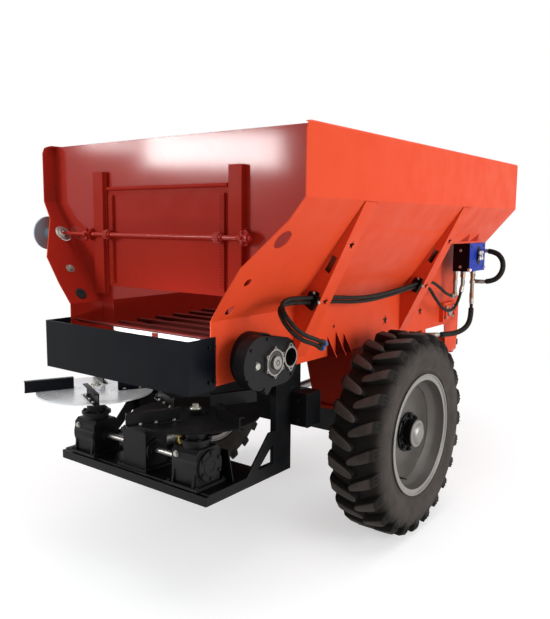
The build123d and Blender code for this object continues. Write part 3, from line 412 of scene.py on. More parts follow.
# The mould's grain is under 1 mm, drawn 5 mm wide so that it shows, with scuffs of 30 mm.
grain = node(tree, "TexNoise", {"Vector": where}, Scale=220.0, Detail=4.0)
scuff = node(tree, "TexNoise", {"Vector": where}, Scale=30.0, Detail=3.0)
heights = node(tree, "Math", {0: grain, 1: scuff}, operation="ADD")
bump = node(tree, "Bump", {"Height": heights}, Strength=0.7, Distance=0.0006)
feed(shader, {"Base Color": tone.outputs[2], "Normal": bump})


def spun(outline, middle, steps, closed=True):
    """Turns an outline of (x, radius) in millimetres round an X axis through `middle`."""
    shape = bmesh.new()
    ring = [shape.verts.new(middle + Vector((x / 1000, 0, radius / 1000))) for x, radius in outline]
    edges = [shape.edges.new(pair) for pair in zip(ring, ring[1:])]
    if closed:
        edges.append(shape.edges.new((ring[-1], ring[0])))
    bmesh.ops.spin(shape, geom=ring + edges, cent=middle, axis=(1, 0, 0), dvec=(0, 0, 0), angle=math.tau,
                   steps=steps, use_merge=True)
    bmesh.ops.remove_doubles(shape, verts=shape.verts, dist=0.00001)
    bmesh.ops.recalc_face_normals(shape, faces=shape.faces)
    return shape


def sided(side, outline):
    """An outline that is drawn for the right-hand side, on the given side."""
    return [(side * x, radius) for x, radius in outline]


def add_copy(shape, mesh, matrix):
    """Adds a copy of a mesh to a bmesh, moved by a matrix."""
    copy = mesh.copy()
    copy.transform(matrix)
    if matrix.determinant() < 0:
        copy.flip_normals()
    shape.from_mesh(copy)
    bpy.data.meshes.remove(copy)


# Half of the carcass, from the bead out to the tread's middle: (x, radius)
wall_line = [(120.5, 304.5), (120.5, 320), (124, 333), (130, 347), (132.5, 349), (132.5, 354), (131.5, 357),
             (137, 374), (142.5, 398), (144.3, 424), (142.5, 450), (138, 472), (130, 491), (118, 501),
             (90, 505), (45, 507)]
# A lug's stations from the tread's middle out and down the wall: x, crown, foot's x and radius,
# place round the tyre, half width at the crown and at the foot
lug_stations = [(-12, crown - 2, -22, 497, -37, 9, 15), (2, crown, -4, 497, -31, 17, 25),
                (34, crown, 34, 497, -17, 23, 32), (72, crown - 0.5, 72, 496, 0, 26, 35),
                (104, crown - 2, 104, 494, 15, 28, 38), (121, crown - 9, 115, 490, 22, 29, 40),
                (132, crown - 26, 121, 480, 27, 29, 39), (139.5, crown - 50, 128, 470, 31, 28, 36),
                (143.5, crown - 82, 136, 455, 33, 26, 32)]


def lug_corner(x, radius, around):
    """A lug's corner: `around` is measured along the tyre at a radius of 530 mm."""
    turn = around / 530
    return Vector((x, radius * math.sin(turn), radius * math.cos(turn))) / 1000


def lug():
    """One lug of the right-hand row, about the wheel's middle."""
    shape = bmesh.new()
    face = None
    for x, top, foot_x, foot, around, half_top, half_foot in lug_stations:
        corners = [lug_corner(foot_x, foot, around - half_foot), lug_corner(x, top, around - half_top),
                   lug_corner(x, top, around + half_top), lug_corner(foot_x, foot, around + half_foot)]
        if face is None:
            face = shape.faces.new([shape.verts.new(corner) for corner in corners])
            continue
        before = face
        grown = bmesh.ops.extrude_face_region(shape, geom=[before])["geom"]
        face = [item for item in grown if isinstance(item, bmesh.types.BMFace)][0]
        if x > lug_stations[1][0]:
            bmesh.ops.delete(shape, geom=[before], context="FACES_ONLY")
        for vert, corner in zip(face.verts, corners):
            vert.co = corner
    bmesh.ops.recalc_face_normals(shape, faces=shape.faces)
    long_edges = [edge for edge in shape.edges if edge.calc_face_angle(0) > math.radians(35)]
    bmesh.ops.bevel(shape, geom=long_edges, offset=0.005, offset_type="OFFSET", segments=2, profile=0.5,
                    affect="EDGES", material=-1, clamp_overlap=True)
    # Two short ribs stand on the lug's shoulder, where the mould was vented.
    for along in (18, 40):
        at = Matrix.Translation(lug_corner(138, crown - 46, along))
        at = at @ Matrix.Rotation(math.radians(-12), 4, "Y") @ Matrix.Diagonal((5, 6, 34, 1))
        block = bmesh.ops.create_cube(shape, size=0.001, matrix=at)["verts"]
        edges = {edge for vert in block for edge in vert.link_edges}
        bmesh.ops.bevel(shape, geom=list(edges), offset=0.0015, offset_type="OFFSET", segments=1, profile=0.5,
                        affect="EDGES", material=-1)
    return as_mesh("lug", shape)


lug_mesh = lug()
lug_count = 24
for side, label in sides:
    middle = Vector((side * tyre_x, axle_y, wheel_height))
    carcass = spun(wall_line + sided(-1, wall_line[::-1]), middle, 120)
    for row in (1, -1):
        for i in range(lug_count):
            # The outer row has a lug at the top, and the inner row's stand half a step on.
            step = Matrix.Rotation(math.tau * (i + (0 if row == side else 0.5)) / lug_count, 4, "X")
            add_copy(carcass, lug_mesh, Matrix.Translation(middle) @ step @ Matrix.Diagonal((row, 1, 1, 1)))
    finished(carcass, "tyre_tread_" + label, [rubber], angle=40, stands_for="tyre_" + label)
bpy.data.meshes.remove(lug_mesh)


# ---- Wheels and hubs ----
# Pressed and rolled steel rims with a welded disc, in silver wheel enamel. The cast hub is
# black, with a silver grease cap driven into it and nuts on studs round its flange.
silver_enamel = sprayed("silver wheel enamel", "#8C8985", "#6A6560", 0.34, metallic=0.62)
# The disc and the rim's well lie deep inside the wheel: their darker greys are painted shade.
dish_shade_silver = sprayed("silver painted darker as shade on the wheel disc", "#58544F", "#433F3B", 0.4, metallic=0.62)
well_shade_grey = sprayed("silver painted dark grey as shade in the rim's well", "#55504C", "#3F3A36", 0.5, metallic=0.3)
cap_metal = sprayed("dull plated cap", "#86837F", "#625F5B", 0.36, metallic=0.7)
black_enamel = sprayed("black enamel on steel", "#07080A", "#0E0D0C", 0.36, specular=0.14)
# All outlines are (x, radius). The rim's goes from its outer edge in to the well's middle.
rim_line = [(135, 321), (135, 330), (124, 329), (120.8, 322), (120.8, 303.8), (86, 298), (70, 292), (46, 266),
            (40, 265)]
rim_inside = [(40, 257), (49, 258), (73, 283), (86, 290), (129, 296), (129, 321)]
dish_line = [(42, 74), (42, 148), (36, 186), (36, 240), (40, 258), (28, 258), (24, 240), (24, 186), (30, 148),
             (30, 74)]
hub_line = [(-110, 36), (-110, 74), (99, 74), (99, 36)]
flange_line = [(42.2, 74.5), (42.2, 108), (50, 108), (54, 103), (54, 92), (58, 80), (58, 74.5)]
cap_line = [(98.5, 40), (98.5, 75), (104, 75.5), (109, 72), (111, 66), (111, 58), (114, 55), (121, 49),
            (126, 39), (128.5, 24), (129.4, 10), (129.5, 0.01)]
valve_turn = 4.0
for side, label in sides:
    body = "wheel_" + label
    middle = Vector((side * tyre_x, axle_y, wheel_height))
    rim = spun(rim_line + sided(-1, rim_line[::-1]) + sided(-1, rim_inside[::-1]) + rim_inside, middle, 144)
    # The rim's well, between the flanges, gets the dark grey painted as shade.
    for face in rim.faces:
        out = face.calc_center_median() - middle
        face.material_index = int(abs(out.x) < 0.1205 and math.hypot(out.y, out.z) > 0.2585)
    dish = spun(sided(side, dish_line), middle, 96)
    for face in dish.faces:
        face.material_index = 2
    dish_mesh = as_mesh("dish", dish)
    rim.from_mesh(dish_mesh)
    bpy.data.meshes.remove(dish_mesh)
    finished(rim, "wheel_rim_finish_" + label, [silver_enamel, well_shade_grey, dish_shade_silver], 0.0025, angle=28,
             stands_for="wheel_rim_" + label)
    finished(spun(sided(side, hub_line), middle, 64), "wheel_hub_body_" + label, [black_enamel], 0.002,
             stands_for="wheel_hub_" + label)
    finished(spun(sided(side, flange_line), middle, 64), "hub_flange_" + label, [black_enamel], 0.0015,
             body=body)
    finished(spun(sided(side, cap_line), middle, 64, closed=False), "grease_cap_" + label, [cap_metal],
             body=body, angle=35)
    bolt_heads("wheel_nuts_" + label,
               [(middle + Vector((side * 54, y, z)) / 1000, (side, 0, 0)) for y, z in circle(8, 93)],
               0.0115, black_enamel, body, nuts=True)
    stem = middle + Vector((side * 0.088, 0.262 * math.cos(valve_turn), 0.262 * math.sin(valve_turn)))
    shape = bmesh.new()
    for radius, length, start in ((0.0055, 0.03, 0.0), (0.0042, 0.018, 0.03)):
        place = stem + Vector((side * (start + length / 2), 0, 0))
        cone(shape, 16, radius, radius * 0.9, length, Matrix.Translation(place) @ sideways)
    finished(shape, "valve_stem_" + label, [rubber], body=body)


# ---- Gate, guides and lift shaft ----
# A sheet gate slides in two channel guides. Racks welded to it mesh with pinions on a cross
# shaft, which a toothed collar holds at each bracket. All of it is painted deep red, as the shade it stands
# in at the rear.
gate_shade_enamel = sprayed("enamel painted deep red as shade at the rear", "#A2271A", "#8A2017", 0.38, wave=0.004,
                      specular=0.03)


def prism(shape, outline, place, length, along=(1, 0, 0), upward=up):
    """Adds a solid: an outline of (across, up) mm that stands at `place`, drawn out to a length."""
    along, upward = Vector(along), Vector(upward)
    across = upward.cross(along)
    face = shape.faces.new([shape.verts.new(place + (across * u + upward * v) / 1000) for u, v in outline])
    grown = bmesh.ops.extrude_face_region(shape, geom=[face])["geom"]
    moved = [item for item in grown if isinstance(item, bmesh.types.BMVert)]
    bmesh.ops.translate(shape, verts=moved, vec=along * (length / 1000))
    faces = {face}.union(*(vert.link_faces for vert in moved))
    bmesh.ops.recalc_face_normals(shape, faces=list(faces))


def rod(shape, start, end, radius, count=32, end_radius=None):
    """Adds a round bar with that many flats from one place to another: radii in mm."""
    along = end - start
    end_radius = radius if end_radius is None else end_radius
    cone(shape, count, radius / 1000, end_radius / 1000, along.length, facing((start + end) / 2, along))


def bars(name, material, easing, rods, body="root"):
    """A piece of round bars: each has its start and end as millimetres for spot, then rod's numbers."""
    shape = bmesh.new()
    for start, end, *numbers in rods:
        rod(shape, spot(*start), spot(*end), *numbers)
    finished(shape, name, [material], easing, body)


def toothed(teeth, tip, root, tip_share, root_share):
    """A toothed wheel's outline, first tooth along +Y: the shares are of a tooth's own angle."""
    points = []
    for i in range(teeth):
        for radius, share in ((root, -root_share), (tip, -tip_share), (tip, tip_share), (root, root_share)):
            turn = math.tau * (i + share / 2) / teeth
            points.append((radius * math.cos(turn), radius * math.sin(turn)))
    return points


for name in ("gate_guides", "gate_plate", "gate_shaft_brackets"):
    eased(name, 0.0012, gate_shade_enamel)

# The racks' teeth have the pinions' pitch, with a gap at the height of the shaft.
shaft_y, shaft_z = -1088.3, 1612
pinion_teeth = 12
pitch_radius = 24.39
pitch = math.tau * pitch_radius / pinion_teeth
shape = bmesh.new()
for x in (-375, 375):
    for i in range(-18, 15):
        prism(shape, [(-3.1, -1), (3.1, -1), (2.0, 3.9), (-2.0, 3.9)],
              spot(x - 14, -1063.5, shaft_z + (i + 0.5) * pitch), 28, upward=(0, -1, 0))
finished(shape, "rack_teeth", [gate_shade_enamel], body=body_with["gate_plate"])


def on_shaft(x, z=0.0):
    """A place on the lift shaft, or z mm above it."""
    return spot(x, shaft_y, shaft_z + z)


shape = bmesh.new()
rod(shape, on_shaft(-868), on_shaft(560), 11)
for side in (-1, 1):
    prism(shape, toothed(pinion_teeth, 24.4, 20.4, 0.3, 0.54), on_shaft(side * 375 - 16), 32)
    for start in (348, 393):
        rod(shape, on_shaft(side * start), on_shaft(side * (start + 8)), 17, 24)
    # A knobbed collar outside each bracket, on a sleeve that a pin goes through
    prism(shape, toothed(6, 36, 23, 0.34, 0.62), on_shaft(side * 521 - 6), 12)
    rod(shape, on_shaft(side * 527), on_shaft(side * 548), 21, 24)
    rod(shape, on_shaft(side * 537, -31), on_shaft(side * 537, 31), 5, 12)
finished(shape, "gate_shaft_finish", [shaded_red_enamel], 0.0008, stands_for="gate_shaft")

# A dished grey cover closes the shaft's left end, outside the hopper.
grey_metal = sprayed("grey zinc-rich paint", "#8FA6B2", "#788C96", 0.3, metallic=0.15)
end_cover = spun([(4, 0.01), (4, 88), (2, 90), (-4, 90), (-7, 86), (-7, 40), (-8, 34), (-8, 0.01)],
                 on_shaft(-872), 48, False)
finished(end_cover, "shaft_cover", [grey_metal], 0.001, body_with["gate_shaft"])
bars("shaft_cover_hub", grey_metal, 0.002, [((-869, shaft_y, shaft_z), (-840, shaft_y, shaft_z), 30, 32, 24)],
     body_with["gate_shaft"])

# What sits in the left slope's three holes: a flange bearing, a bolt on its plate, a foam plug
slope_in = Vector((0.8015, 0, 0.598))
for y, z, material, slot, outline in [
        (-1095, 1609, zinc_metal, "zinc",
         [(0, 17), (0, 45), (2, 45), (3, 40), (5, 38), (6, 27), (12, 24), (12, 17)]),
        (-1155, 1430, zinc_metal, "zinc", [(0, 0.01), (0, 24), (3, 24), (3, 0.01)]),
        (-1161, 1306, foam_and_shade_black, "black_paint",
         [(0, 0.01), (0, 31), (3, 31), (6, 26), (6, 15), (3, 12), (3, 0.01)])]:
    place = spot(-(477 + 0.7461 * (z - 1265)), y, z) + slope_in * 0.0055
    insert = spun(outline, Vector(), 40, closed=outline[0][1] > 1)
    bmesh.ops.transform(insert, verts=insert.verts, matrix=facing(place, slope_in, "X", "Z"))
    finished(insert, "slope_insert_%d" % z, [material], 0.0006)
bolt_heads("slope_insert_bolt", [(spot(-600.1, -1155, 1430) + slope_in * 0.0085, slope_in)], 0.011)
for side, label in sides:
    weld_bead("guide_welds_" + label, gate_shade_enamel,
              [[spot(side * 498, -1046, z) for z in (1312, 1921)]], 0.006)


# ---- Chain floor ----
# Two endless strands of forged links carry channel-section slats over the floor sheet. Red
# overspray has dried on the slats, and the load has rubbed it off in places; their dark red is also painted
# shade.
slat_overspray_and_shade, tree, shader, where = new_material("oversprayed steel slats, painted dark as shade", "#4A120E", 0.5, specular=0.08)
rubbed = node(tree, "TexNoise", {"Vector": where}, Scale=14.0, Detail=6.0, Roughness=0.7)
amount = node(tree, "MapRange", {"Value": rubbed}, From_Min=0.52, From_Max=0.72)
tone = node(tree, "Mix", {"Factor": amount, 6: linear("#561510"), 7: linear("#3B2520")}, data_type="RGBA")
bump = node(tree, "Bump", {"Height": rubbed}, Strength=0.4, Distance=0.001)
feed(shader, {"Base Color": tone.outputs[2], "Normal": bump})
# Oil stands on the links in spots of 20 mm.
link_metal = mottled("oiled forged steel", "#2E2723", 0.38, ("#1E1A18", "#4B3F37"), 45.0, 4.0,
                     gloss=(0.22, 0.62), metallic=0.75)

rear_shaft, front_shaft, chain_z = -1005, 1150, 1076
link_radius = 65
straight = front_shaft - rear_shaft
half_turn = math.pi * link_radius
chain_length = 2 * (straight + half_turn)
strand_x = 0.33


def on_chain(along):
    """Where something `along` mm round the chain stands: Y runs along the chain, Z is outwards."""
    over, along = divmod(along, chain_length / 2)
    run, bend = min(along, straight), max(along - straight, 0)
    y = front_shaft - run if over else rear_shaft + run
    return (Matrix.Translation(spot(0, y, chain_z))
            @ Matrix.Rotation((math.pi if over else 0) - bend / link_radius, 4, "X"))


# A forged link: an oblong eye with bevelled ends, seen from outside the loop
shape = bmesh.new()
rings = []
for half_width, half_length, cut, lift in ((13, 27, 8, -5), (13, 27, 8, 5), (6, 18, 4, 5), (6, 18, 4, -5)):
    corners = [(half_width, half_length - cut), (half_width - cut, half_length)]
    corners += [(-x, y) for x, y in corners[::-1]]
    corners += [(-x, -y) for x, y in corners]
    rings.append([shape.verts.new(Vector((x, y, link_radius + lift)) / 1000) for x, y in corners])
for near, far in zip(rings, rings[1:] + rings[:1]):
    for i in range(8):
        shape.faces.new((near[i], near[i - 1], far[i - 1], far[i]))
bmesh.ops.recalc_face_normals(shape, faces=shape.faces)
link_mesh = as_mesh("link", shape)
# A channel-section slat, open towards the floor, on its two clips
shape = bmesh.new()
prism(shape, [(-20, 73), (-20, 89), (20, 89), (20, 73), (16, 73), (16, 85), (-16, 85), (-16, 73)],
      Vector((-0.385, 0, 0)), 770)
for x in (-330, 330):
    prism(shape, [(-12, 69), (-12, 86), (12, 86), (12, 69)], Vector((x - 11, 0, 0)) / 1000, 22)
slat_mesh = as_mesh("slat", shape)

link_count, slat_count = 98, 36
# Each link leans by 0.05 radians, so that its rear end lies over the next one's front end.
lift = Matrix.Translation((0, 0, link_radius / 1000))
lean = lift @ Matrix.Rotation(0.05, 4, "X") @ lift.inverted()
shape = bmesh.new()
for i in range(link_count):
    stand = on_chain(i * chain_length / link_count)
    for x in (-strand_x, strand_x):
        add_copy(shape, link_mesh, stand @ Matrix.Translation((x, 0, 0)) @ lean)
finished(shape, "chain_links", [link_metal], stands_for="conveyor_chain")
shape = bmesh.new()
for i in range(slat_count):
    add_copy(shape, slat_mesh, on_chain(i * chain_length / slat_count))
finished(shape, "floor_slats", [slat_overspray_and_shade], 0.0015, stands_for="conveyor_chain")
for mesh in (link_mesh, slat_mesh):
    bpy.data.meshes.remove(mesh)

# Turned steel, dulled by handling in spots of 10 mm
shaft_steel = mottled("turned steel shaft", "#8E8B86", 0.3, ("#6F6A65", "#B0AEAA"), 90.0, 5.0, 0.7,
                      gloss=(0.2, 0.5), metallic=0.95)
for name in ("conveyor_rear_shaft", "conveyor_front_shaft"):
    eased(name, 0.002, shaft_steel)
for name in ("conveyor_bearings", "chain_tensioners"):
    eased(name, 0.003, orange_enamel)
bearing_bolts = []
for x, y, outward in ((-513, rear_shaft, -1), (-513, front_shaft, -1), (513, front_shaft, 1)):
    bearing_bolts += grid((x,), (y - 49, y + 49), (chain_z - 35, chain_z + 35), (outward, 0, 0))
bolt_heads("bearing_bolts", bearing_bolts, 0.008)


# ---- Conveyor gear case ----
# A black cast case with a drum behind it. A bright machined plate joins the shaft's cover ring
# to the open flange for a hydraulic motor, and a plug closes the sight port beside them.
cast_black = sprayed("black paint on rough castings", "#141315", "#28231F", 0.48, peel=0.0004, specular=0.15)
eased("conveyor_gear_case", 0.0016, cast_black, shaft_steel,
      pick=lambda middle, normal: int(middle.x > 0.6205))


def on_case(x, y, z):
    """A place at x, and so far rearwards and up from the middle of the conveyor's shaft."""
    return spot(x, rear_shaft + y, chain_z + z)


# The cover ring stands 4 mm proud, with a lobe for each of its six bolts, at 30, 90 degrees and so on.
ring_steps = 96
shape = bmesh.new()
rings = []
for x, radius, lobe_height in ((620, 59, 13), (635, 59, 13), (636, 58, 13),
                               (636, 53, 0), (635, 52, 0), (620, 52, 0)):
    rings.append([])
    for i, (u, v) in enumerate(circle(ring_steps, 1)):
        lobe = math.exp(-(360 * i / ring_steps % 60 - 30) ** 2 / 60)
        reach = radius + lobe_height * lobe
        rings[-1].append(shape.verts.new(on_case(x, reach * u, reach * v)))
for near, far in zip(rings, rings[1:]):
    for i in range(ring_steps):
        shape.faces.new((near[i - 1], near[i], far[i], far[i - 1]))
bmesh.ops.recalc_face_normals(shape, faces=shape.faces)
finished(shape, "shaft_cover_ring", [shaft_steel], angle=25)
seal_and_hole_black = mottled("oily seal lip, and painted shade in holes", "#1A1614", 0.28, ("#0F0D0C", "#352C27"), 150.0, 3.0)
seal = spun([(0, 31), (0, 52), (0.7, 51.5), (0.7, 41), (2.5, 37), (2.5, 32), (1, 31)], on_case(632, 0, 0), 64)
finished(seal, "shaft_seal", [seal_and_hole_black], angle=40)
# Black discs in the cover's six bolt holes are painted shade.
shape = bmesh.new()
for y, z in circle(6, 64, 30):
    rod(shape, on_case(636, y, z), on_case(636.6, y, z), 4.2, 16)
finished(shape, "cover_bolt_hole_shade", [seal_and_hole_black])
bolt_heads("sight_port_plug", [(spot(610, -1113, 1074), (1, 0, 0))], 0.015)
centre = spun([(0, 9), (0, 13), (1.2, 12), (1.2, 9)], on_case(648, 0, 0), 32)
finished(centre, "shaft_centre", [seal_and_hole_black], body=body_with["conveyor_rear_shaft"])
bolt_heads("case_bolts", [(on_case(620, y, z), (1, 0, 0)) for y, z in
                          ((-150, 72), (-172, -58), (-60, -112), (135, -78), (140, 70), (-40, 106))],
           0.0065, cast_black)


# ---- Rear deflector and apron ----
# A folded black sheet round the discs' rear, and a galvanised apron under the floor's lip.
deep_black = sprayed("gloss black enamel on sheet", "#090C13", "#10100F", 0.3, wave=0.003, specular=0.09)
eased("rear_deflector", 0.001, deep_black)
# The zinc's spangle is about 11 mm wide; the sheet's near-white colour is painted glare.
apron_glare_zinc = mottled("galvanised sheet painted near white as glare", "#F2F3F4", 0.35, ("#F7F8F9", "#DADDE0"), 90.0, metallic=0.1)
# The apron is one sheet; the V-shaped tie that holds it to the lip got some of the red paint.
plate_low, plate_high = (Vector(corner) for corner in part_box("chute_plate"))
wide, tall = (plate_high.x - plate_low.x) * 1000, (plate_high.z - plate_low.z) * 1000
shape = bmesh.new()
prism(shape, [(-5, 8), (5, 8), (20, tall - 1), (-20, tall - 1)], Vector((0.108, plate_low.y, plate_low.z)), 6,
      along=(0, 1, 0))
for face in shape.faces:
    face.material_index = 1
prism(shape, [(0, 0), (wide, 0), (wide, tall), (0, tall)],
      Vector((plate_high.x, plate_high.y - 0.003, plate_low.z)), 3, along=(0, 1, 0))
finished(shape, "chute_plate_finish", [apron_glare_zinc, deep_shade_enamel], 0.0008, stands_for="chute_plate")
bolt_heads("deflector_bolts", grid((482,), (-1235, -1262), (1010, 1160), (1, 0, 0))
           + grid((-482,), (-1235, -1262), (1010, 1160), (-1, 0, 0)), 0.008, black_enamel)


# ---- Axle, spinner frame and cross beam ----
# Square tube, channel and plate, welded and dipped in black enamel.
for name in ("axle_beam", "spinner_frame", "spinner_cross_beam", "drive_line_bearings"):
    eased(name, 0.0015, black_enamel)
weld_bead("frame_welds", black_enamel,
          [[spot(side * x, y, z) for y in (rear, front)]
           for x, rear, front, z in ((462, -817, -697, 522), (590, -696, -578, 700)) for side in (-1, 1)])
bolt_heads("beam_bolts", grid((-440, -540, 440, 540), (-697,), (735, 830), (0, -1, 0)), 0.011, black_enamel)
# Black plastic plugs close the cross beam's ends, each in two steps.
shape = bmesh.new()
for side in (-1, 1):
    for inset, x in ((10, 576), (7, 588)):
        rear, front, foot, top = -697 + inset, -577 - inset, 700 + inset, 865 - inset
        prism(shape, [(rear, foot), (front, foot), (front, top), (rear, top)],
              spot(side * x - (0 if side > 0 else 1), 0, 0), 1.5)
finished(shape, "beam_plugs", [black_enamel], 0.001)
# The foot plate that steadies the right-hand gearbox
shape = bmesh.new()
prism(shape, [(385, 528), (478, 528), (448, 668), (405, 668)], spot(0, -1100, 0), 6, along=(0, -1, 0))
finished(shape, "gearbox_stay", [black_enamel], 0.001)


# ---- Gearboxes, discs and drive line ----
# Cast bevel boxes in black paint, with bolted side covers and necks. The right disc is black,
# the left one is still bright, and both carry four black channel vanes.
disc_x, disc_y, disc_top = 345, -1205, 842
shaft_height, neck_top, foot_top = 622, 734, 540
for side, label in sides:
    eased("gearbox_" + label, 0.004, cast_black)
    x, cover_x = side * disc_x, side * (disc_x + 92)
    bolts = []
    for (cover_y, cover_z), (neck_x, neck_y) in zip(circle(6, 58, 30), circle(6, 60, 30)):
        bolts.append((spot(cover_x, disc_y + cover_y, shaft_height + cover_z), (side, 0, 0)))
        bolts.append((spot(x + neck_x, disc_y + neck_y, neck_top), up))
    bolts += grid((x - 84, x + 84), (disc_y - 84, disc_y + 84), (foot_top,), up)
    bolt_heads("gearbox_bolts_" + label, bolts, 0.0075, cast_black)
    ring_x = cover_x if side > 0 else cover_x - 3
    finished(spun([(0, 22), (0, 46), (3, 44), (3, 24)], spot(ring_x, disc_y, shaft_height), 48),
             "cover_ring_" + label, [cast_black], 0.0008)
eased("gearbox_centre", 0.004, cast_black)
bolt_heads("gearbox_centre_bolts", grid((-72, 72), (disc_y - 48, disc_y + 12, disc_y + 72), (712,), up)
           + grid((-90, 90), (disc_y - 64, disc_y + 88), (foot_top,), up), 0.007, cast_black)
# A yellow oil filler on the right box, and a bright drain plug on each rear face
yellow_plastic = mottled("yellow plastic cap", "#C9A90F", 0.42, ("#D8B612", "#8C7411"), 70.0, 4.0)
bars("oil_filler", yellow_plastic, 0.002,
     [((287, -1238, 700), (287, -1238, 712), 10, 16), ((287, -1238, 712), (287, -1238, 738), 16, 12, 14)])
bolt_heads("drain_plugs", [(spot(side * disc_x - 45, disc_y - 75, 668), (0, -1, 0)) for side in (-1, 1)],
           0.011)

scoured_black = sprayed("scoured black enamel", "#0B0B0C", "#1D1B19", 0.5, specular=0.08)
# The left disc is bright rolled steel; its near-white colour also paints in the bright sky's reflection.
disc_steel_and_reflection = sprayed("rolled steel disc painted near white as reflection", "#ECEEF0", "#D4D8DA", 0.25, metallic=0.45)


def vane_or_disc(middle, normal):
    """Vanes stand above the disc's face, away from its middle."""
    return int(middle.z > (disc_top + 0.5) / 1000 and (middle - disc_middle).length > 0.06)


disc_middle = spot(disc_x, disc_y, disc_top)
eased("spinner_disc_right", 0.0015, scoured_black, black_enamel, pick=vane_or_disc)
disc_middle = spot(-disc_x, disc_y, disc_top)
eased("spinner_disc_left", 0.0015, disc_steel_and_reflection, deep_black, pick=vane_or_disc)
vane_offset = 74
for (side, label), first_vane in zip(sides, (-25, -65)):
    bolts = []
    for u, v in circle(4, 1, first_vane):
        for reach in (125, 205, 272):
            x, y = reach * u - vane_offset * v, reach * v + vane_offset * u
            bolts.append((spot(side * (disc_x + x), disc_y + y, disc_top + 5), up))
    body = body_with["spinner_disc_" + label]
    bolt_heads("vane_bolts_" + label, bolts, 0.0068, body=body)
    x, cap_foot, cap_top = side * disc_x, disc_top + 22, disc_top + 28
    bars("disc_cap_" + label, zinc_metal, 0.0015, [((x, disc_y, cap_foot), (x, disc_y, cap_top), 26, 32, 24)],
         body=body)
    bolt_heads("disc_nut_" + label, [(spot(x, disc_y, cap_top), up)], 0.014, body=body)
for name in ("cross_shaft", "drive_line"):
    eased(name, 0.0015, shaft_steel)


# ---- Drawbar, hitch eye and jack ----
# Two tubes meet at a forged eye; a screw jack with a square foot holds the machine level.
eased("hitch_eye", 0.004, link_metal)
eased("jack_housing", 0.0012, black_enamel)
eased("jack_leg", 0.001, shaft_steel)
weld_bead("nose_welds", orange_enamel,
          [[spot(x, 2218, 705), spot(x + 70, 2218, 705)] for x in (-80, 10)], 0.008)
bolt_heads("jack_bracket_bolts", grid((-235, -205), (1916, 1944), (750,), up), 0.008)
# The crank that winds the leg up and down
bars("jack_crank", black_enamel, 0.002,
     [((-290, 1930, 925), (-290, 1930, 948), 14, 24), ((-290, 1930, 940), (-290, 1845, 940), 8, 16),
      ((-290, 1845, 932), (-290, 1845, 1010), 8, 16), ((-290, 1845, 950), (-290, 1845, 1016), 14, 24, 13)],
     body_with["jack_housing"])


# ---- Hydraulic valve and its fittings ----
# A cast valve block painted blue, its rear and inner faces painted purple-black as shade, and a die-cast
# knob.
# Plated and bronze fittings screw into it from below.
blue_enamel = sprayed("blue enamel on castings", "#13309C", "#102672", 0.34, specular=0.1)
valve_shade_black = sprayed("blue valve painted purple-black as shade", "#150A10", "#0F070B", 0.4, specular=0.06)
knob_metal = sprayed("die-cast knob", "#EFECE8", "#CFCBC5", 0.3, metallic=0.1)


def valve_face(middle, normal):
    """The knob's boss is black, and the rear and inner faces are painted purple-black as shade."""
    if middle.x > 0.6765:
        return 2
    return int(normal.y < -0.5 or normal.x < -0.5)


eased("hydraulic_valve", 0.004, blue_enamel, valve_shade_black, black_enamel, pick=valve_face)
shape = bmesh.new()
prism(shape, [(40 * u, 62 * v) for u, v in circle(24, 1)], spot(676, 1215, 1470), 3)
finished(shape, "knob_plate", [black_enamel], 0.001)
cross = []
for i in range(4):
    for radius, share in ((13, -0.5), (36, -0.2), (40, 0), (36, 0.2)):
        turn = math.tau * (i + 0.5 + share) / 4
        cross.append((radius * math.cos(turn), radius * math.sin(turn)))
shape = bmesh.new()
prism(shape, cross, spot(687, 1215, 1470), 13)
rod(shape, spot(686, 1215, 1470), spot(703, 1215, 1470), 13, 24, 9)
finished(shape, "valve_knob", [knob_metal], 0.002)
bolt_heads("valve_bolts", grid((612,), (1058,), (1395, 1505), (0, -1, 0)), 0.008)
white_plastic = mottled("white plastic plug", "#E9E9E6", 0.4, ("#F4F4F2", "#C9C8C2"), 80.0, 4.0)
bars("valve_plugs", white_plastic, 0.0015,
     [((672, 1062, 1378), (690, 1050, 1378), 12, 24, 10), ((676, 1318, 1388), (688, 1318, 1388), 9, 24, 8)])

bronze = mottled("bronze-passivated fittings", "#8E6B4A", 0.36, ("#5A4130", "#9A7D60"), 55.0, 4.0,
                 metallic=0.85)


def fitting_metal(middle, normal):
    """Nuts are plated and the tubes between them bronze; the bulkhead by the rail is orange."""
    if middle.z < 0.986 and middle.x < 0.482:
        return 2
    return int(middle.z > 1.34 or 1.24 < middle.z < 1.31)


dull_zinc = sprayed("dull zinc-plated fittings", "#8A8078", "#5E554E", 0.45, metallic=0.6)
eased("valve_fittings", 0.0012, bronze, dull_zinc, orange_enamel, pick=fitting_metal)


# ---- Hydraulic hoses ----
# Rubber hoses in a woven sleeve. The pair for the floor's motor hangs plugged from the valve's
# fittings, one loop feeds the valve, and one hose drops to the bulkhead on the rail.
hose_rubber, tree, shader, where = new_material("woven hose sleeve", "#17150F", 0.55, specular=0.12)
# The sleeve's threads are about 2 mm apart, and pale speckles on them, in spots of 25 mm, are painted glints.
weave = node(tree, "TexVoronoi", {"Vector": where}, Scale=420.0)
weave_glint_spots = node(tree, "TexNoise", {"Vector": where}, Scale=38.0, Detail=5.0, Roughness=0.7)
amount = node(tree, "Math", {0: weave, 1: weave_glint_spots}, operation="MULTIPLY")
spread = node(tree, "MapRange", {"Value": amount}, From_Min=0.2, From_Max=0.55)
tone = node(tree, "Mix", {"Factor": spread, 6: linear("#0C0B09"), 7: linear("#3A372F")}, data_type="RGBA")
bump = node(tree, "Bump", {"Height": weave}, Strength=0.8, Distance=0.0008)
feed(shader, {"Base Color": tone.outputs[2], "Normal": bump})


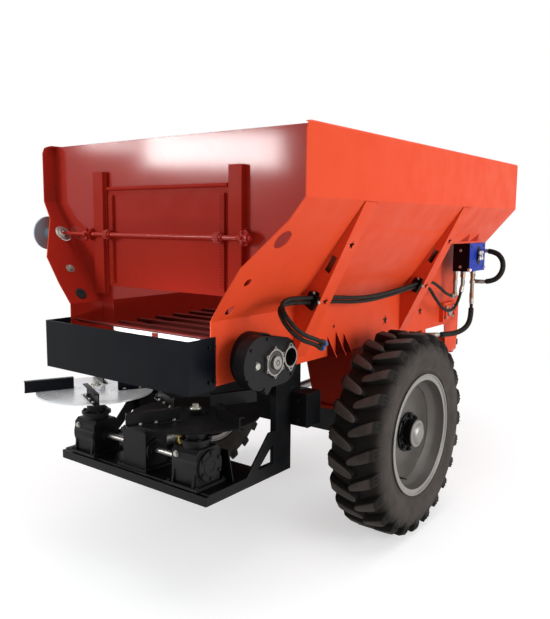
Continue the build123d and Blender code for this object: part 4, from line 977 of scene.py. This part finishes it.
def round_curve(name, route, diameter):
    """A round curve with its route's points as its control points."""
    curve = given(bpy.data.curves.new(name, "CURVE"), dimensions="3D", bevel_depth=diameter / 2,
                  bevel_resolution=5, resolution_u=10, use_fill_caps=True)
    line = curve.splines.new("NURBS")
    line.points.add(len(route) - 1)
    for point, place in zip(line.points, route):
        point.co = (*place, 1)
    line.order_u = 3
    line.use_endpoint_u = True
    curve.materials.append(hose_rubber)
    return added(name, curve)


def on_hose(piece):
    """Makes a piece ride with the hoses, which hang on the chassis."""
    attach(piece, "root")


def hose(name, route, diameter):
    """A hose along its route, with its diameter in metres, in place of its CAD line."""
    piece = round_curve("hose_" + name, route, diameter)
    on_hose(piece)
    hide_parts("hose_line_" + name)


# The two hoses lie side by side, each half a step off this middle line: from the plugs forward.
pair_line = [(688, -742, 1128), (718, -845, 1160), (748, -947, 1186), (729, -1008, 1226), (681, -1020, 1284),
             (634, -977, 1326), (606, -862, 1332), (592, -742, 1322), (586, -505, 1308), (594, -195, 1277),
             (594, 120, 1288), (590, 400, 1312)]
upper_line = [(596.7, 640, 1329.1), (594, 800, 1270), (586, 930, 1215), (576, 1040, 1200)]
lower_line = [(583, 625, 1303), (581, 745, 1210), (585, 880, 1118), (595, 1000, 1104), (603, 1080, 1160),
              (606, 1120, 1252)]
loop_line = [(660, 1350, 1497), (744, 1350, 1497), (806, 1340, 1435), (806, 1325, 1347), (744, 1310, 1285),
             (660, 1300, 1285)]
drop_line = [(640, 1215, 1170), (640, 1223, 1080), (634, 1205, 992), (604, 1130, 945), (556, 1020, 935),
             (512, 915, 943)]
upper_route, lower_route, loop_route, drop_route = (
    [spot(*point) for point in line] for line in (
        [(x + 6.7, y, z + 11.1) for x, y, z in pair_line] + upper_line,
        [(x - 6.7, y, z - 11.1) for x, y, z in pair_line] + lower_line, loop_line, drop_line))

# Each loose end has a crimped ferrule, a blue sleeve and a yellow-green plug.
cap_green = mottled("yellow-green dust plug", "#8F9A4A", 0.4, ("#A7AF6B", "#6F7440"), 95.0, 4.0)
sleeve_blue = sprayed("blue plastic sleeve", "#1C5FA0", "#17467A", 0.35)


def fitting_part(middle, normal):
    """Which piece of a loose end a place is on, by how far it is past the hose's end."""
    past = min((middle - route[0]).length for route in (upper_route, lower_route))
    return 0 if past < 0.0305 else 1 if past < 0.0585 else 2


ends = eased("hose_fittings", 0.0012, link_metal, sleeve_blue, cap_green, pick=fitting_part)
hose("upper", upper_route[::-1], 0.020)
hose("lower", lower_route[::-1], 0.020)
# A slack guard sleeve is pulled over most of the loop and of the drop.
guards = []
for name, route, start in (("loop", loop_route, 0.06), ("drop", drop_route, 0.10)):
    curve = round_curve("guard_curve_" + name, route, 0.036)
    given(curve.data, bevel_factor_start=start, bevel_factor_end=0.93)
    guards.append(added("guard_sleeve_" + name, bpy.data.meshes.new_from_object(curve)))
    bpy.data.objects.remove(curve)
    on_hose(guards[-1])
hose("loop", loop_route, 0.022)
hose("drop", drop_route, 0.022)

# Crimped ferrules where each hose screws into its fitting
shape = bmesh.new()
for route in (upper_route[::-1], lower_route[::-1], loop_route, loop_route[::-1], drop_route,
              drop_route[::-1]):
    along = (route[1] - route[0]).normalized()
    rod(shape, route[0] - along * 0.004, route[0] + along * 0.034, 14.5, 24, 13.5)
    for start in (0.008, 0.016, 0.024):
        rod(shape, route[0] + along * start, route[0] + along * (start + 0.003), 15, 24)
finished(shape, "hose_ferrules", [zinc_metal], 0.0006)

# Black moulded clamps on the ribs, each with two plated bolts through its strap
eased("hose_clamps", 0.003, black_enamel)
strap_out, strap_along = Vector((0.857, 0, 0.515)), Vector((-0.515, 0, 0.857))
bolt_heads("clamp_bolts", [(spot(588.5, y, 1314) + strap_along * step + strap_out * 0.029, strap_out)
                           for y in (-667, 450) for step in (-0.026, 0.026)], 0.0065)
